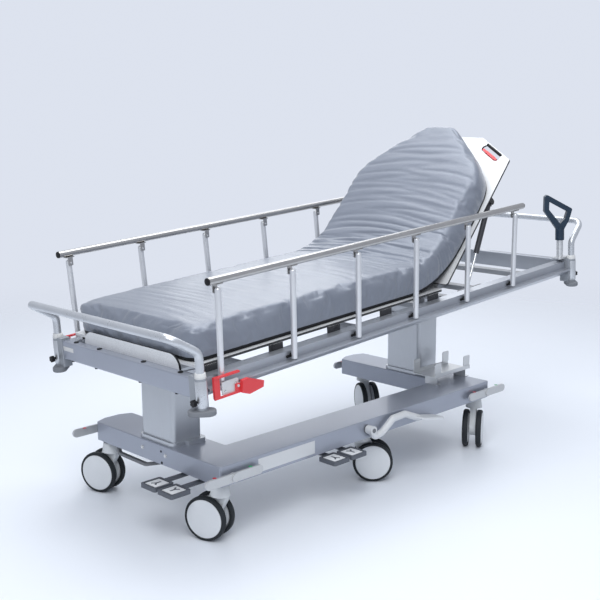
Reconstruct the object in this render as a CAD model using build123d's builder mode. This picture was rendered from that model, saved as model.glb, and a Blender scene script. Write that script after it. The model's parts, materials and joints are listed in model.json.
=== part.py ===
from build123d import *
from math import atan2, cos, degrees, radians, sin, tan
import os

# Stretcher trolley. Millimetres, +Z up, +X towards the head end, -Y the side nearest the viewer.
# The origin is on the floor, in the middle of the whole object's footprint.

# Fits between pieces
running_fit = 0.05
slide_fit = 0.5
body_gap = 0.4

# Chassis: a C of pressed steel, open on the far side
base_foot = -911.2
base_length = 1440.0
base_half_width = 350.0
base_bottom = 197.0
base_height = 67.0
base_wall = 3.0
base_corner = 8.0
beam_width = 158.0
foot_box_length = 155.0
head_box_length = 147.0
nose_reach = 20.0
nose_chamfer = 45.0
beam_bevel = 2.0

# Castors
castor_height = 190.0
wheel_diameter = 150.0
wheel_width = 22.0
wheel_pitch = 54.0
castor_trail = 42.0
axle_diameter = 12.0
stem_diameter = 20.0
stem_length = 20.0
boss_diameter = 46.0
castor_inset_side = 45.0
castor_inset_end = 35.0
mid_castor_from_foot = 762.0
mid_castor_from_side = 92.0
foot_castor_angle = 108.8
mid_castor_angle = 314.7
near_head_castor_angle = 211.3
far_head_castor_angle = 240.0

# Brake bars and their shafts
brake_shaft_diameter = 14.0
brake_shaft_height = 226.0
brake_bar_length = 240.0
brake_bar_width = 30.0
brake_bar_thickness = 8.0
brake_bar_gap = 14.0
foot_brake_from_end = 42.0
head_brake_from_end = 36.0

# Pump pedals
pedal_pad_length = 80.0
pedal_pad_width = 78.0
pedal_pad_thickness = 14.0
pedal_gap = 10.0
pedal_height = 176.0
pedal_arm_width = 22.0
pedal_arm_thickness = 7.0
pedal_shaft_diameter = 12.0
foot_pedal_reach = 130.0
foot_pedal_shaft_in = 62.0
foot_pedal_middle = -181.0
side_pedal_reach = 71.0
side_pedal_shaft_in = 118.0
side_pedal_middle_from_foot = 531.0

# Steering lever on the near side
lever_pivot_from_foot = 690.0
lever_pivot_height = 232.0
lever_tube_diameter = 26.0
lever_pivot_diameter = 16.0
lever_stand_off = 20.0
lever_plate_length = 150.0
lever_plate_width = 58.0

# Telescopic columns
column_length = 123.0
column_width = 180.0
column_corner = 16.0
column_wall = 4.0
column_top = 516.0
column_head_top = 546.0
foot_column_from_foot = 77.5
head_column_from_foot = 1370.0
collar_height = 14.0
collar_margin = 7.0
collar_ear_radius = 22.0
column_stage_bottom = 240.0
lift_travel = 240.0
tilt_travel = 165.0

# Lying frame: its own axes are s along it, y across it and h square to it
frame_tilt = 3.69
frame_height_at_foot = 556.2
profile_half_width = 378.0
profile_width = 46.0
profile_top = 25.0
profile_bottom = -33.0
profile_ledge = 28.0
profile_wall = 3.5
cross_beam_length = 34.0
cross_beam_top = 32.0
cross_beam_bottom = -34.0
cross_beam_half_width = 352.0
foot_beam_face = -115.0
head_beam_face = 1985.0
member_width = 36.0
member_height = 20.0
carriage_half_length = 95.0
carriage_half_width = 101.0
carriage_plate = 8.0
pivot_diameter = 20.0
lug_thickness = 14.0
tilt_slot_half_length = 30.0
tilt_slot_clearance = 2.5

# Corner blocks, bumpers and push bars
block_top = 39.0
block_bottom = -64.0
socket_half_width = 395.0
foot_socket_s = -105.0
head_socket_s = 1975.0
socket_wall = 5.0
bumper_thickness = 18.0
push_tube_diameter = 27.0
foot_bar_rise = 178.0
foot_bar_out = 100.0
head_bar_rise = 189.0
head_bar_out = 80.0
push_bar_kink = 112.0
push_bar_bend = 34.0
push_bar_depth = 88.0

# Lying surface and backrest
board_thickness = 8.0
board_bottom = 47.0
board_half_width = 338.0
board_corner = 12.0
foot_lip_half_width = 262.0
foot_lip_top = 76.0
foot_lip_corner = 46.0
backrest_hinge_s = 1158.0
backrest_angle = 45.6
backrest_start = 20.0
backrest_length = 737.0
backrest_shoulder = 629.0
backrest_head_half_width = 156.0
hinge_pin_diameter = 8.0
mattress_thickness = 105.0
mattress_half_width = 322.0
mattress_corner = 40.0
mattress_back_length = 692.0
mattress_back_shoulder = 494.0
mattress_head_half_width = 72.0
backrest_top_angle = 68.0

# Gas springs of the backrest
strut_half_width = 312.0
strut_foot_s = 1320.0
strut_foot_h = -10.0
strut_along_board = 440.0
strut_below_board = 30.0
strut_tube_diameter = 22.0
strut_tube_length = 205.0
strut_rod_length = 255.0
strut_rod_diameter = 10.0
strut_pin_diameter = 10.0
strut_slot_clearance = 11.5
strut_relief = 2.5
strut_slot_start = 1300.0
strut_slot_end = 1392.0

# Side rails
post_count = 6
post_pitch = 310.96
first_post_s = -23.8
post_diameter = 20.0
post_pivot_h = 10.0
post_half_width = 393.0
post_lean = 15.6
rail_height = 322.0
rail_diameter = 24.0
rail_start = -57.8
rail_end = 1575.5
post_top_pivot_h = 289.0
post_end_radius = 10.0
post_pin_diameter = 8.0
clip_pin_diameter = 6.0
clip_length = 18.0
clip_thickness = 4.0
saddle_length = 34.0
saddle_thickness = 3.0

# Pull handle at the near head corner
handle_s = 1946.0
handle_half_width = 356.0
handle_shaft_diameter = 18.0
handle_sleeve_diameter = 26.0
handle_grip_bottom = 120.0
handle_yoke = 178.0

# Values worked out from the sizes above
profile_foot_end = foot_beam_face + cross_beam_length
profile_head_end = head_beam_face - cross_beam_length
member_bottom = profile_bottom + profile_wall
member_reach = profile_half_width - 12
base_head = base_foot + base_length
base_top = base_bottom + base_height
base_far = base_half_width - nose_reach / 2
foot_column_x = base_foot + foot_column_from_foot
head_column_x = base_foot + head_column_from_foot
tilt = radians(frame_tilt)
along = Vector(cos(tilt), 0, sin(tilt))
upward = Vector(-sin(tilt), 0, cos(tilt))
frame_origin = Vector(base_foot, 0, frame_height_at_foot)
foot_pivot_s = foot_column_from_foot / cos(tilt)
head_pivot_s = head_column_from_foot / cos(tilt)
board_top = board_bottom + board_thickness
hinge_h = board_bottom + board_thickness / 2
knuckle_radius = hinge_pin_diameter / 2 + 4
strap_y = [side * distance for distance in (110, 268) for side in (-1, 1)]
near, far = -1, 1

os.makedirs("parts", exist_ok=True)


def frame_point(s, y, h):
    """A point given by its place on the tilted lying frame."""
    return frame_origin + along * s + Vector(0, y, 0) + upward * h


def level_plane(s=0.0, y=0.0, h=0.0):
    """A plane parallel to the lying frame: x along it, y across it."""
    return Plane(origin=frame_point(s, y, h), x_dir=along, z_dir=upward)


def cross_plane(s, y=0.0, h=0.0):
    """A plane square to the frame's length: x across it, y up."""
    return Plane(origin=frame_point(s, y, h), x_dir=(0, 1, 0), z_dir=along)


def side_plane(y, s=0.0, h=0.0):
    """A plane facing the near side: x along the frame, y up, normal towards -Y."""
    return Plane(origin=frame_point(s, y, h), x_dir=along, z_dir=(0, -1, 0))


back = radians(backrest_angle)
back_along = along * cos(back) + upward * sin(back)
back_upward = upward * cos(back) - along * sin(back)


def back_plane(n=0.0):
    """A plane parallel to the raised backrest, n above its middle: x up the backrest, y across."""
    return Plane(origin=frame_point(backrest_hinge_s, 0, hinge_h) + back_upward * n,
                 x_dir=back_along, z_dir=back_upward)


def save(part, name):
    """Label a finished piece and write its STEP file."""
    part.label = name
    export_step(part, f"parts/{name}.step")


castor_places = {
    "far_foot": (base_foot + castor_inset_end, base_half_width - castor_inset_side, foot_castor_angle),
    "near_foot": (base_foot + castor_inset_end, castor_inset_side - base_half_width, foot_castor_angle),
    "near_mid": (base_foot + mid_castor_from_foot, mid_castor_from_side - base_half_width, mid_castor_angle),
    "near_head": (base_head - castor_inset_end, castor_inset_side - base_half_width, near_head_castor_angle),
    "far_head": (base_head - castor_inset_end, base_half_width - castor_inset_side, far_head_castor_angle),
}
foot_brake_x = base_foot + foot_brake_from_end
head_brake_x = base_head - head_brake_from_end
stem_top = castor_height + stem_length


def chassis_outline(inset):
    """The C outline of the chassis, closed, with every edge moved in by inset."""
    inner_near = beam_width - base_half_width
    foot_inner = base_foot + foot_box_length
    head_inner = base_head - head_box_length
    tip = base_far + nose_reach
    with BuildLine() as outline:
        Polyline(
            (base_foot, -base_half_width), (base_head, -base_half_width),
            (base_head, base_far), (base_head - nose_chamfer, tip),
            (head_inner + nose_chamfer, tip), (head_inner, base_far),
            (head_inner, inner_near), (foot_inner, inner_near),
            (foot_inner, base_far), (foot_inner - nose_chamfer, tip),
            (base_foot + nose_chamfer, tip), (base_foot, base_far),
            close=True,
        )
    make_face(outline.edges())
    fillet(vertices(), base_corner)
    if inset:
        offset(amount=-inset)


# Chassis
with BuildPart() as base_frame:
    with BuildSketch(Plane.XY.offset(base_bottom)):
        chassis_outline(0)
    extrude(amount=base_height)
    chamfer(base_frame.edges().group_by(Axis.Z)[-1], beam_bevel)
    with BuildSketch(Plane.XY.offset(base_bottom)):
        chassis_outline(base_wall)
    extrude(amount=base_height - base_wall, mode=Mode.SUBTRACT)
    with BuildSketch(Plane.XY.offset(castor_height + body_gap)):
        for stem_x, stem_y, trail_angle in castor_places.values():
            with Locations((stem_x, stem_y)):
                Circle(boss_diameter / 2)
    extrude(amount=base_top - base_wall - castor_height - body_gap)
    with BuildSketch(Plane.XY.offset(castor_height)):
        for stem_x, stem_y, trail_angle in castor_places.values():
            with Locations((stem_x, stem_y)):
                Circle(stem_diameter / 2 + running_fit)
    extrude(amount=stem_length + 1, mode=Mode.SUBTRACT)
    with BuildSketch(Plane.XY.offset(base_bottom)):
        with Locations((foot_column_x, 0), (head_column_x, 0)):
            RectangleRounded(column_length - 2 * column_wall, column_width - 2 * column_wall,
                             column_corner - column_wall)
    extrude(amount=base_height, mode=Mode.SUBTRACT)
    with BuildSketch(Plane.XZ.offset(-2 * base_half_width)):
        with Locations((foot_brake_x, brake_shaft_height), (head_brake_x, brake_shaft_height)):
            Circle(brake_shaft_diameter / 2 + running_fit)
    extrude(amount=4 * base_half_width, mode=Mode.SUBTRACT)
save(base_frame.part, "base_frame")


def column_section(clearance):
    """A column's rounded section, drawn smaller by the clearance all round."""
    RectangleRounded(column_length - 2 * clearance, column_width - 2 * clearance, column_corner - clearance)


def column_tube(middle_x, name):
    """The fixed outer tube of a column, with the eared collar that bolts it down."""
    with BuildPart() as tube:
        with BuildSketch(Plane.XY.offset(base_top)):
            with Locations((middle_x, 0)):
                column_section(0)
        extrude(amount=column_top - base_top)
        with BuildSketch(Plane.XY.offset(base_top)):
            with Locations((middle_x, 0)):
                column_section(-collar_margin)
            with Locations((middle_x + column_length / 2 + collar_margin - 2 * collar_ear_radius, -column_width / 2)):
                SlotOverall(4 * collar_ear_radius, 2 * collar_ear_radius)
        extrude(amount=collar_height)
        with BuildSketch(Plane.XY.offset(base_top)):
            with Locations((middle_x, 0)):
                column_section(column_wall)
        extrude(amount=column_top - base_top, mode=Mode.SUBTRACT)
        chamfer(tube.edges().group_by(Axis.Z)[-1], 1.2)
    save(tube.part, name)


column_tube(foot_column_x, "foot_column_tube")
column_tube(head_column_x, "head_column_tube")


def column_stage(middle_x, pivot_z, top_z, bottom_z, clearance, lug_half_width, name, own_pin):
    """A sliding column stage, with a lugged head where it carries the lying frame."""
    with BuildPart() as stage:
        with BuildSketch(Plane.XY.offset(bottom_z)):
            with Locations((middle_x, 0)):
                column_section(clearance)
        extrude(amount=top_z - bottom_z)
        with BuildSketch(Plane.XY.offset(bottom_z)):
            with Locations((middle_x, 0)):
                column_section(clearance + column_wall)
        extrude(amount=top_z - bottom_z - (8 if lug_half_width else 0), mode=Mode.SUBTRACT)
        for lug_y in (lug_half_width, lug_thickness - lug_half_width) if lug_half_width else ():
            with BuildSketch(Plane.XZ.offset(-lug_y)):
                with BuildLine():
                    Polyline((middle_x - 34, top_z), (middle_x + 34, top_z), (middle_x + 17, pivot_z),
                             (middle_x - 17, pivot_z), close=True)
                make_face()
                with Locations((middle_x, pivot_z)):
                    Circle(17)
            extrude(amount=lug_thickness)
        if lug_half_width and not own_pin:
            with BuildSketch(Plane.XZ.offset(-column_width)):
                with Locations((middle_x, pivot_z)):
                    Circle(pivot_diameter / 2 + running_fit)
            extrude(amount=2 * column_width, mode=Mode.SUBTRACT)
        if own_pin:
            with BuildSketch(Plane.XZ.offset(-(carriage_half_width + carriage_plate + 3))):
                with Locations((middle_x, pivot_z)):
                    Circle(pivot_diameter / 2)
            extrude(amount=2 * (carriage_half_width + carriage_plate + 3))
    save(stage.part, name)


foot_pivot_z = frame_point(foot_pivot_s, 0, 0).Z
head_pivot_z = frame_point(head_pivot_s, 0, 0).Z
stage_gap = column_wall + slide_fit
tip_bottom = column_stage_bottom + 84
column_stage(foot_column_x, foot_pivot_z, column_head_top, column_stage_bottom, stage_gap, 64,
             "foot_column_inner", False)
column_stage(head_column_x, 0, column_top - 3, column_stage_bottom, stage_gap, 0,
             "head_column_inner", False)
column_stage(head_column_x, head_pivot_z, head_pivot_z - 20, tip_bottom, 2 * stage_gap, 64,
             "head_column_tip", True)


def castor(stem_x, stem_y, trail_angle, name):
    """One twin-wheel castor: a swivelling fork and the two wheels on their axle."""
    trail_x = cos(radians(trail_angle))
    trail_y = sin(radians(trail_angle))
    radius = wheel_diameter / 2
    web = wheel_pitch - wheel_width - 6
    trail_dir = Vector(trail_x, trail_y, 0)
    axle_dir = Vector(trail_y, -trail_x, 0)
    middle = Plane(origin=(stem_x, stem_y, 0), x_dir=trail_dir, z_dir=axle_dir)
    with BuildPart() as fork:
        with BuildSketch(middle.offset(-web / 2)):
            with Locations((castor_trail, radius)):
                Circle(30)
            with Locations((4, castor_height - 44)):
                Circle(30)
            make_hull()
        extrude(amount=web)
        fillet(fork.edges().filter_by(GeomType.LINE, reverse=True), 3)
        with BuildSketch(Plane.XY.offset(wheel_diameter + 3)):
            with Locations((stem_x, stem_y)):
                Circle(34)
        with BuildSketch(Plane.XY.offset(castor_height)):
            with Locations((stem_x, stem_y)):
                Circle(28)
        loft()
        with BuildSketch(Plane.XY.offset(castor_height)):
            with Locations((stem_x, stem_y)):
                Circle(stem_diameter / 2)
        extrude(amount=stem_length)
        with BuildSketch(middle.offset(-web)):
            with Locations((castor_trail, radius)):
                Circle(axle_diameter / 2 + running_fit)
        extrude(amount=2 * web, mode=Mode.SUBTRACT)
    save(fork.part, f"{name}_castor_fork")

    axle_centre = Vector(stem_x, stem_y, radius) + trail_dir * castor_trail
    section = Plane(origin=axle_centre, x_dir=(0, 0, 1), z_dir=axle_dir.cross(Vector(0, 0, 1)))
    inner = (wheel_pitch - wheel_width) / 2
    outer = (wheel_pitch + wheel_width) / 2
    with BuildPart() as wheels:
        for side in (near, far):
            with BuildSketch(section):
                with BuildLine():
                    Polyline((0, side * inner), (radius - 9, side * inner), (radius - 1.5, side * (inner + 2)),
                             (radius, side * (inner + wheel_width / 2)), (radius - 1.5, side * (outer - 2)),
                             (radius - 9, side * outer), (radius - 11, side * (outer - 2)),
                             (18, side * (outer + 1)), (0, side * (outer + 1)), close=True)
                make_face()
            revolve(axis=Axis(axle_centre, axle_dir))
        with BuildSketch(Plane(origin=axle_centre - axle_dir * inner, x_dir=trail_dir, z_dir=axle_dir)):
            Circle(axle_diameter / 2)
        extrude(amount=2 * inner)
    save(wheels.part, f"{name}_castor_wheels")


for castor_name, (stem_x, stem_y, trail_angle) in castor_places.items():
    castor(stem_x, stem_y, trail_angle, castor_name)


def brake_bars(shaft_x, name):
    """A cross shaft with a flat rocker bar at each end, treadled from either side."""
    near_bar = -base_half_width - brake_bar_gap - brake_bar_thickness
    far_bar = base_half_width + nose_reach / 2 + brake_bar_gap
    with BuildPart() as bars:
        with BuildSketch(Plane.XZ.offset(-far_bar)):
            with Locations((shaft_x, brake_shaft_height)):
                Circle(brake_shaft_diameter / 2)
        extrude(amount=far_bar - near_bar)
        for bar_y in (near_bar, far_bar):
            with BuildSketch(Plane.XZ.offset(-bar_y - brake_bar_thickness)):
                with Locations((shaft_x, brake_shaft_height)):
                    SlotOverall(brake_bar_length, brake_bar_width)
            extrude(amount=brake_bar_thickness)
        with BuildSketch(Plane.XZ.offset(-near_bar - brake_bar_thickness - 7)):
            with Locations((shaft_x, brake_shaft_height)):
                Circle(14)
        extrude(amount=brake_bar_thickness + 12)
        with BuildSketch(Plane.XZ.offset(-far_bar - brake_bar_thickness - 5)):
            with Locations((shaft_x, brake_shaft_height)):
                Circle(14)
        extrude(amount=brake_bar_thickness + 12)
    save(bars.part, name)


brake_bars(foot_brake_x, "foot_brake_bars")
brake_bars(head_brake_x, "head_brake_bars")


def pedal(pivot, out, side_way, offset_along, reach, name):
    """A framed foot pad on a flat arm, turning on a shaft under the chassis."""
    pad = Plane(origin=pivot, x_dir=out, z_dir=(0, 0, 1))
    sign = 1 if pad.y_dir.dot(side_way) > 0 else -1
    centre = sign * offset_along
    drop = pivot.Z - pedal_height
    with BuildPart() as foot_pedal:
        with BuildSketch(pad.offset(-drop - pedal_pad_thickness / 2)):
            with Locations((reach - pedal_pad_length / 2, centre)):
                RectangleRounded(pedal_pad_length, pedal_pad_width, 8)
        extrude(amount=pedal_pad_thickness)
        with BuildSketch(pad.offset(-drop + pedal_pad_thickness / 2)):
            with Locations((reach - pedal_pad_length / 2, centre)):
                RectangleRounded(pedal_pad_length - 16, pedal_pad_width - 16, 5)
        extrude(amount=-3, mode=Mode.SUBTRACT)
        with BuildSketch(pad.offset(-pedal_arm_thickness / 2)):
            with Locations(((reach - pedal_pad_length) / 2, centre)):
                Rectangle(reach - pedal_pad_length + 4, pedal_arm_width)
        extrude(amount=pedal_arm_thickness)
        hub = Plane(origin=pivot, x_dir=out, z_dir=pad.y_dir)
        with BuildSketch(hub.offset(centre - pedal_arm_width / 2)):
            Circle(pedal_shaft_diameter / 2 + 5)
        extrude(amount=pedal_arm_width)
        with BuildSketch(hub.offset(centre - pedal_arm_width)):
            Circle(pedal_shaft_diameter / 2 + running_fit)
        extrude(amount=2 * pedal_arm_width, mode=Mode.SUBTRACT)
    save(foot_pedal.part, name)


pedal_offset = (pedal_pad_width + pedal_gap) / 2
pedal_shaft_z = base_bottom - 16
foot_pedal_pivot = Vector(base_foot + foot_pedal_shaft_in, foot_pedal_middle, pedal_shaft_z)
side_pedal_pivot = Vector(base_foot + side_pedal_middle_from_foot, side_pedal_shaft_in - base_half_width,
                          pedal_shaft_z)
foot_reach = foot_pedal_reach + foot_pedal_shaft_in
side_reach = side_pedal_reach + side_pedal_shaft_in
pedal(foot_pedal_pivot, Vector(-1, 0, 0), Vector(0, 1, 0), pedal_offset, foot_reach, "foot_pedal_up")
pedal(foot_pedal_pivot, Vector(-1, 0, 0), Vector(0, 1, 0), -pedal_offset, foot_reach, "foot_pedal_down")
pedal(side_pedal_pivot, Vector(0, -1, 0), Vector(1, 0, 0), -pedal_offset, side_reach, "side_pedal_up")
pedal(side_pedal_pivot, Vector(0, -1, 0), Vector(1, 0, 0), pedal_offset, side_reach, "side_pedal_down")

# Pedal shafts and their hangers, the treadle bar and the steering lever's stub axle
lever_y = -base_half_width - lever_stand_off
lever_pivot_x = base_foot + lever_pivot_from_foot
shaft_reach = pedal_offset + pedal_arm_width / 2 + 14
with BuildPart() as lever_brackets:
    for pivot, turned in ((foot_pedal_pivot, 90), (side_pedal_pivot, 0)):
        hanger = Plane(origin=pivot, x_dir=(1, 0, 0), z_dir=(0, 0, 1)).rotated((0, 0, turned))
        with BuildSketch(Plane(origin=pivot, x_dir=hanger.y_dir, z_dir=hanger.x_dir).offset(-shaft_reach)):
            Circle(pedal_shaft_diameter / 2)
        extrude(amount=2 * shaft_reach)
        for end in (-shaft_reach, 0, shaft_reach):
            with BuildSketch(Plane(origin=pivot, x_dir=hanger.y_dir, z_dir=hanger.x_dir).offset(end - 3)):
                Circle(12)
                with Locations((0, (base_top - base_wall - pivot.Z) / 2)):
                    Rectangle(24, base_top - base_wall - pivot.Z)
            extrude(amount=6)
    with BuildSketch(Plane.XZ.offset(base_half_width)):
        with Locations((lever_pivot_x, lever_pivot_height)):
            Circle(lever_pivot_diameter / 2 + 8)
    extrude(amount=2)
    with BuildSketch(Plane.XZ.offset(base_half_width)):
        with Locations((lever_pivot_x, lever_pivot_height)):
            Circle(lever_pivot_diameter / 2)
    extrude(amount=lever_stand_off + lever_tube_diameter / 2 + 4)
    with BuildLine() as treadle_route:
        FilletPolyline((base_foot + 14, base_half_width - 125, base_top - base_wall),
                       (base_foot + 14, base_half_width - 125, 170),
                       (base_foot + 10, 60, 170), (base_foot + 45, 24, 176), radius=12)
    with BuildSketch(treadle_route.line ^ 0):
        Rectangle(14, 10)
    sweep(path=treadle_route.line)
save(lever_brackets.part, "lever_brackets")

# Steering lever: a bent tube with a flat tread plate
lever_end_x = lever_pivot_x + 270
with BuildPart() as steer_lever:
    with BuildLine(Plane.XZ.offset(-lever_y)) as lever_route:
        FilletPolyline((lever_pivot_x, lever_pivot_height), (lever_pivot_x + 20, lever_pivot_height - 30),
                       (lever_pivot_x + 62, lever_pivot_height - 22), (lever_pivot_x + 120, lever_pivot_height + 16),
                       (lever_pivot_x + 190, lever_pivot_height + 18), (lever_end_x, lever_pivot_height - 14),
                       radius=18)
    with BuildSketch(lever_route.line ^ 0):
        Circle(lever_tube_diameter / 2)
    sweep(path=lever_route.line)
    with BuildSketch(Plane.XZ.offset(-lever_y - lever_tube_diameter / 2 - 2)):
        with Locations((lever_pivot_x, lever_pivot_height)):
            Circle(lever_tube_diameter / 2 + 3)
    extrude(amount=lever_tube_diameter + 4)
    with BuildSketch(Plane.XZ.offset(-lever_y - lever_tube_diameter)):
        with Locations((lever_pivot_x, lever_pivot_height)):
            Circle(lever_pivot_diameter / 2 + running_fit)
    extrude(amount=2 * lever_tube_diameter, mode=Mode.SUBTRACT)
    tread = Plane(origin=(lever_end_x - 12, lever_y, lever_pivot_height - 8), x_dir=(cos(0.2), 0, -sin(0.2)),
                  z_dir=(sin(0.2), 0, cos(0.2)))
    with BuildSketch(tread):
        with Locations((lever_plate_length / 2 - 20, -base_half_width - lever_plate_width / 2 - 3 - lever_y)):
            RectangleRounded(lever_plate_length, lever_plate_width, 20)
    extrude(amount=5)
save(steer_lever.part, "steer_lever")

# Gas bottle cradle: a bent sheet trough with four upturned tabs and two legs
cradle_x = base_head - head_box_length - 2
cradle_sheet = 2.5
cradle_length = 230.0
cradle_width = 116.0
cradle_floor = base_top + 36
tab_height = 46.0
tab_length = 40.0
with BuildPart() as cylinder_cradle:
    trough = Plane.YZ.offset(cradle_x - cradle_length / 2 + 40)
    with BuildSketch(trough):
        with Locations((-192, cradle_floor)):
            Rectangle(cradle_width, cradle_sheet)
        for side in (near, far):
            with Locations((-192 + side * (cradle_width / 2 - cradle_sheet / 2), cradle_floor + 7)):
                Rectangle(cradle_sheet, 14)
    extrude(amount=cradle_length)
    for side in (near, far):
        tab_plane = Plane.XZ.offset(192 - side * (cradle_width / 2 - cradle_sheet) + (side - 1) / 2 * cradle_sheet)
        with BuildSketch(tab_plane):
            for end in (near, far):
                with Locations((cradle_x + 40 + end * (cradle_length - tab_length) / 2,
                                cradle_floor + 10 + tab_height / 2)):
                    RectangleRounded(tab_length, tab_height, 6)
        extrude(amount=cradle_sheet)
    for leg_x in (cradle_x + 40 - cradle_length / 2 + 20, cradle_x + 40 + cradle_length / 2 - 20):
        with BuildSketch(Plane.XY.offset(base_top)):
            with Locations((leg_x, -192 - 20)):
                Rectangle(cradle_sheet, 60)
        extrude(amount=cradle_floor - base_top)
        with BuildSketch(Plane.XY.offset(base_top)):
            with Locations((leg_x + 12, -192 - 20)):
                Rectangle(26, 60)
        extrude(amount=cradle_sheet)
save(cylinder_cradle.part, "cylinder_cradle")


def profile_section(side):
    """The side profile's channel section, drawn on a cross plane."""
    outer = side * profile_half_width
    inner = side * (profile_half_width - profile_width)
    wall = side * profile_wall
    with BuildLine() as section:
        Polyline(
            (inner, profile_top), (outer, profile_top), (outer, -4), (outer + side * profile_ledge, -4),
            (outer + side * profile_ledge, -10), (outer - side * 4, profile_bottom), (inner, profile_bottom),
            (inner, profile_bottom + profile_wall), (outer - side * 7, profile_bottom + profile_wall),
            (outer - wall, -10), (outer - wall, profile_top - profile_wall),
            (inner, profile_top - profile_wall), close=True,
        )
    make_face(section.edges())


post_places = [first_post_s + post_pitch * number for number in range(post_count)]

# Side profiles, bored for the posts' pivot pins
with BuildPart() as side_profiles:
    with BuildSketch(cross_plane(profile_foot_end)):
        profile_section(near)
        profile_section(far)
    extrude(amount=profile_head_end - profile_foot_end)
    with BuildSketch(side_plane(2 * profile_half_width)):
        for post_s in post_places:
            with Locations((post_s, post_pivot_h)):
                Circle(post_pin_diameter / 2 + running_fit)
    extrude(amount=4 * profile_half_width, mode=Mode.SUBTRACT)
save(side_profiles.part, "side_profiles")


def cross_beam(face_s, way, name):
    """A hollow end beam; way is +1 where its outer face looks to the foot."""
    middle_h = (cross_beam_top + cross_beam_bottom) / 2
    height = cross_beam_top - cross_beam_bottom
    start = face_s if way > 0 else face_s - cross_beam_length
    with BuildPart() as beam:
        with BuildSketch(side_plane(cross_beam_half_width, start + cross_beam_length / 2, middle_h)):
            RectangleRounded(cross_beam_length, height, 5)
            RectangleRounded(cross_beam_length - 6, height - 6, 2, mode=Mode.SUBTRACT)
        extrude(amount=2 * cross_beam_half_width)
    save(beam.part, name)


cross_beam(foot_beam_face, 1, "foot_cross_beam")
cross_beam(head_beam_face, -1, "head_cross_beam")

# Hidden cross members, the pivot carriages over the columns and the slotted gas spring plates
with BuildPart() as cross_members:
    member_s = [pivot_s + side * carriage_half_length for pivot_s in (foot_pivot_s, head_pivot_s)
                for side in (near, far)]
    with BuildSketch(level_plane(h=member_bottom)):
        for s in member_s + [(foot_pivot_s + head_pivot_s) / 2, backrest_hinge_s - 32, profile_head_end - 150]:
            with Locations((s, 0)):
                Rectangle(member_width, 2 * member_reach)
    extrude(amount=member_height)
    # Shallow reliefs in the tops let the gas springs lie flat with the backrest
    with BuildSketch(level_plane(h=member_bottom + member_height)):
        for side in (near, far):
            with Locations((head_pivot_s + carriage_half_length, side * strut_half_width)):
                Rectangle(member_width + 2, strut_tube_diameter + 2 * strut_relief)
    extrude(amount=-strut_relief, mode=Mode.SUBTRACT)
    plate_out = carriage_half_width + carriage_plate
    for pivot_s in (foot_pivot_s, head_pivot_s):
        for plate_y in (plate_out, -carriage_half_width):
            with BuildSketch(side_plane(plate_y)):
                with Locations((pivot_s, -3)):
                    RectangleRounded(2 * carriage_half_length - member_width + 4, 46, 8)
                if pivot_s == head_pivot_s:
                    with Locations((pivot_s, 0)):
                        SlotOverall(2 * tilt_slot_half_length + pivot_diameter,
                                    pivot_diameter + 2 * tilt_slot_clearance, mode=Mode.SUBTRACT)
            extrude(amount=carriage_plate)
    with BuildSketch(side_plane(plate_out, foot_pivot_s)):
        Circle(pivot_diameter / 2)
    extrude(amount=2 * plate_out)
    slot_height = strut_pin_diameter + 2 * strut_slot_clearance
    plate_start = head_pivot_s - carriage_half_length + member_width / 2 - 2
    plate_end = head_pivot_s + carriage_half_length - member_width / 2 + 2
    for plate_y in (strut_half_width - 14, 20 - strut_half_width):
        with BuildSketch(side_plane(plate_y)):
            with Locations(((plate_start + plate_end) / 2, strut_foot_h)):
                RectangleRounded(plate_end - plate_start, slot_height + 14, 6)
            with Locations(((strut_slot_start + strut_slot_end) / 2, strut_foot_h)):
                RectangleRounded(strut_slot_end - strut_slot_start, slot_height, 8, mode=Mode.SUBTRACT)
        extrude(amount=6)
    for y in strap_y:
        with BuildSketch(side_plane(y + 38, backrest_hinge_s, hinge_h)):
            Circle(hinge_pin_diameter / 2)
        extrude(amount=76)
        for plate_y in (y + 38, y - 21):
            with BuildSketch(side_plane(plate_y, backrest_hinge_s, hinge_h)):
                Circle(knuckle_radius)
                with BuildLine():
                    Polyline((-knuckle_radius, 0), (-14, -board_thickness / 2), (-50, -board_thickness / 2),
                             (-50, member_bottom - hinge_h), (-14, member_bottom - hinge_h),
                             (-14, -24), (knuckle_radius, -10), (knuckle_radius, 0), close=True)
                make_face()
            extrude(amount=17)
save(cross_members.part, "cross_members")

# Corner blocks with their push bar sockets
socket_radius = push_tube_diameter / 2 + socket_wall
corners = [(foot_socket_s, near), (foot_socket_s, far), (head_socket_s, near), (head_socket_s, far)]
with BuildPart() as corner_blocks:
    with BuildSketch(level_plane(h=block_bottom)):
        for corner_s, side in corners:
            inward = 1 if corner_s < head_socket_s / 2 else -1
            middle_y = side * (socket_half_width + cross_beam_half_width) / 2
            with Locations((corner_s, side * socket_half_width)):
                Circle(socket_radius)
            with Locations((corner_s + inward * 4, middle_y)):
                RectangleRounded(2 * socket_radius - 2, socket_half_width - cross_beam_half_width, 3)
    extrude(amount=block_top - block_bottom)
    with BuildSketch(level_plane(h=block_top)):
        for corner_s, side in corners:
            with Locations((corner_s, side * socket_half_width)):
                Circle(push_tube_diameter / 2 + running_fit)
    extrude(amount=-(block_top - block_bottom - 8), mode=Mode.SUBTRACT)
save(corner_blocks.part, "corner_blocks")

# Corner bumpers: rounded rubber pads under the blocks
with BuildPart() as corner_bumpers:
    for corner_s, side in corners:
        outward = -1 if corner_s < head_socket_s / 2 else 1
        with BuildSketch(level_plane(corner_s + outward * 2, side * (socket_half_width - 2), block_bottom)):
            SlotOverall(88, 50, rotation=outward * side * -45)
        extrude(amount=-bumper_thickness)
    fillet(corner_bumpers.edges().filter_by(GeomType.CIRCLE), 5)
save(corner_bumpers.part, "corner_bumpers")

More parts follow.
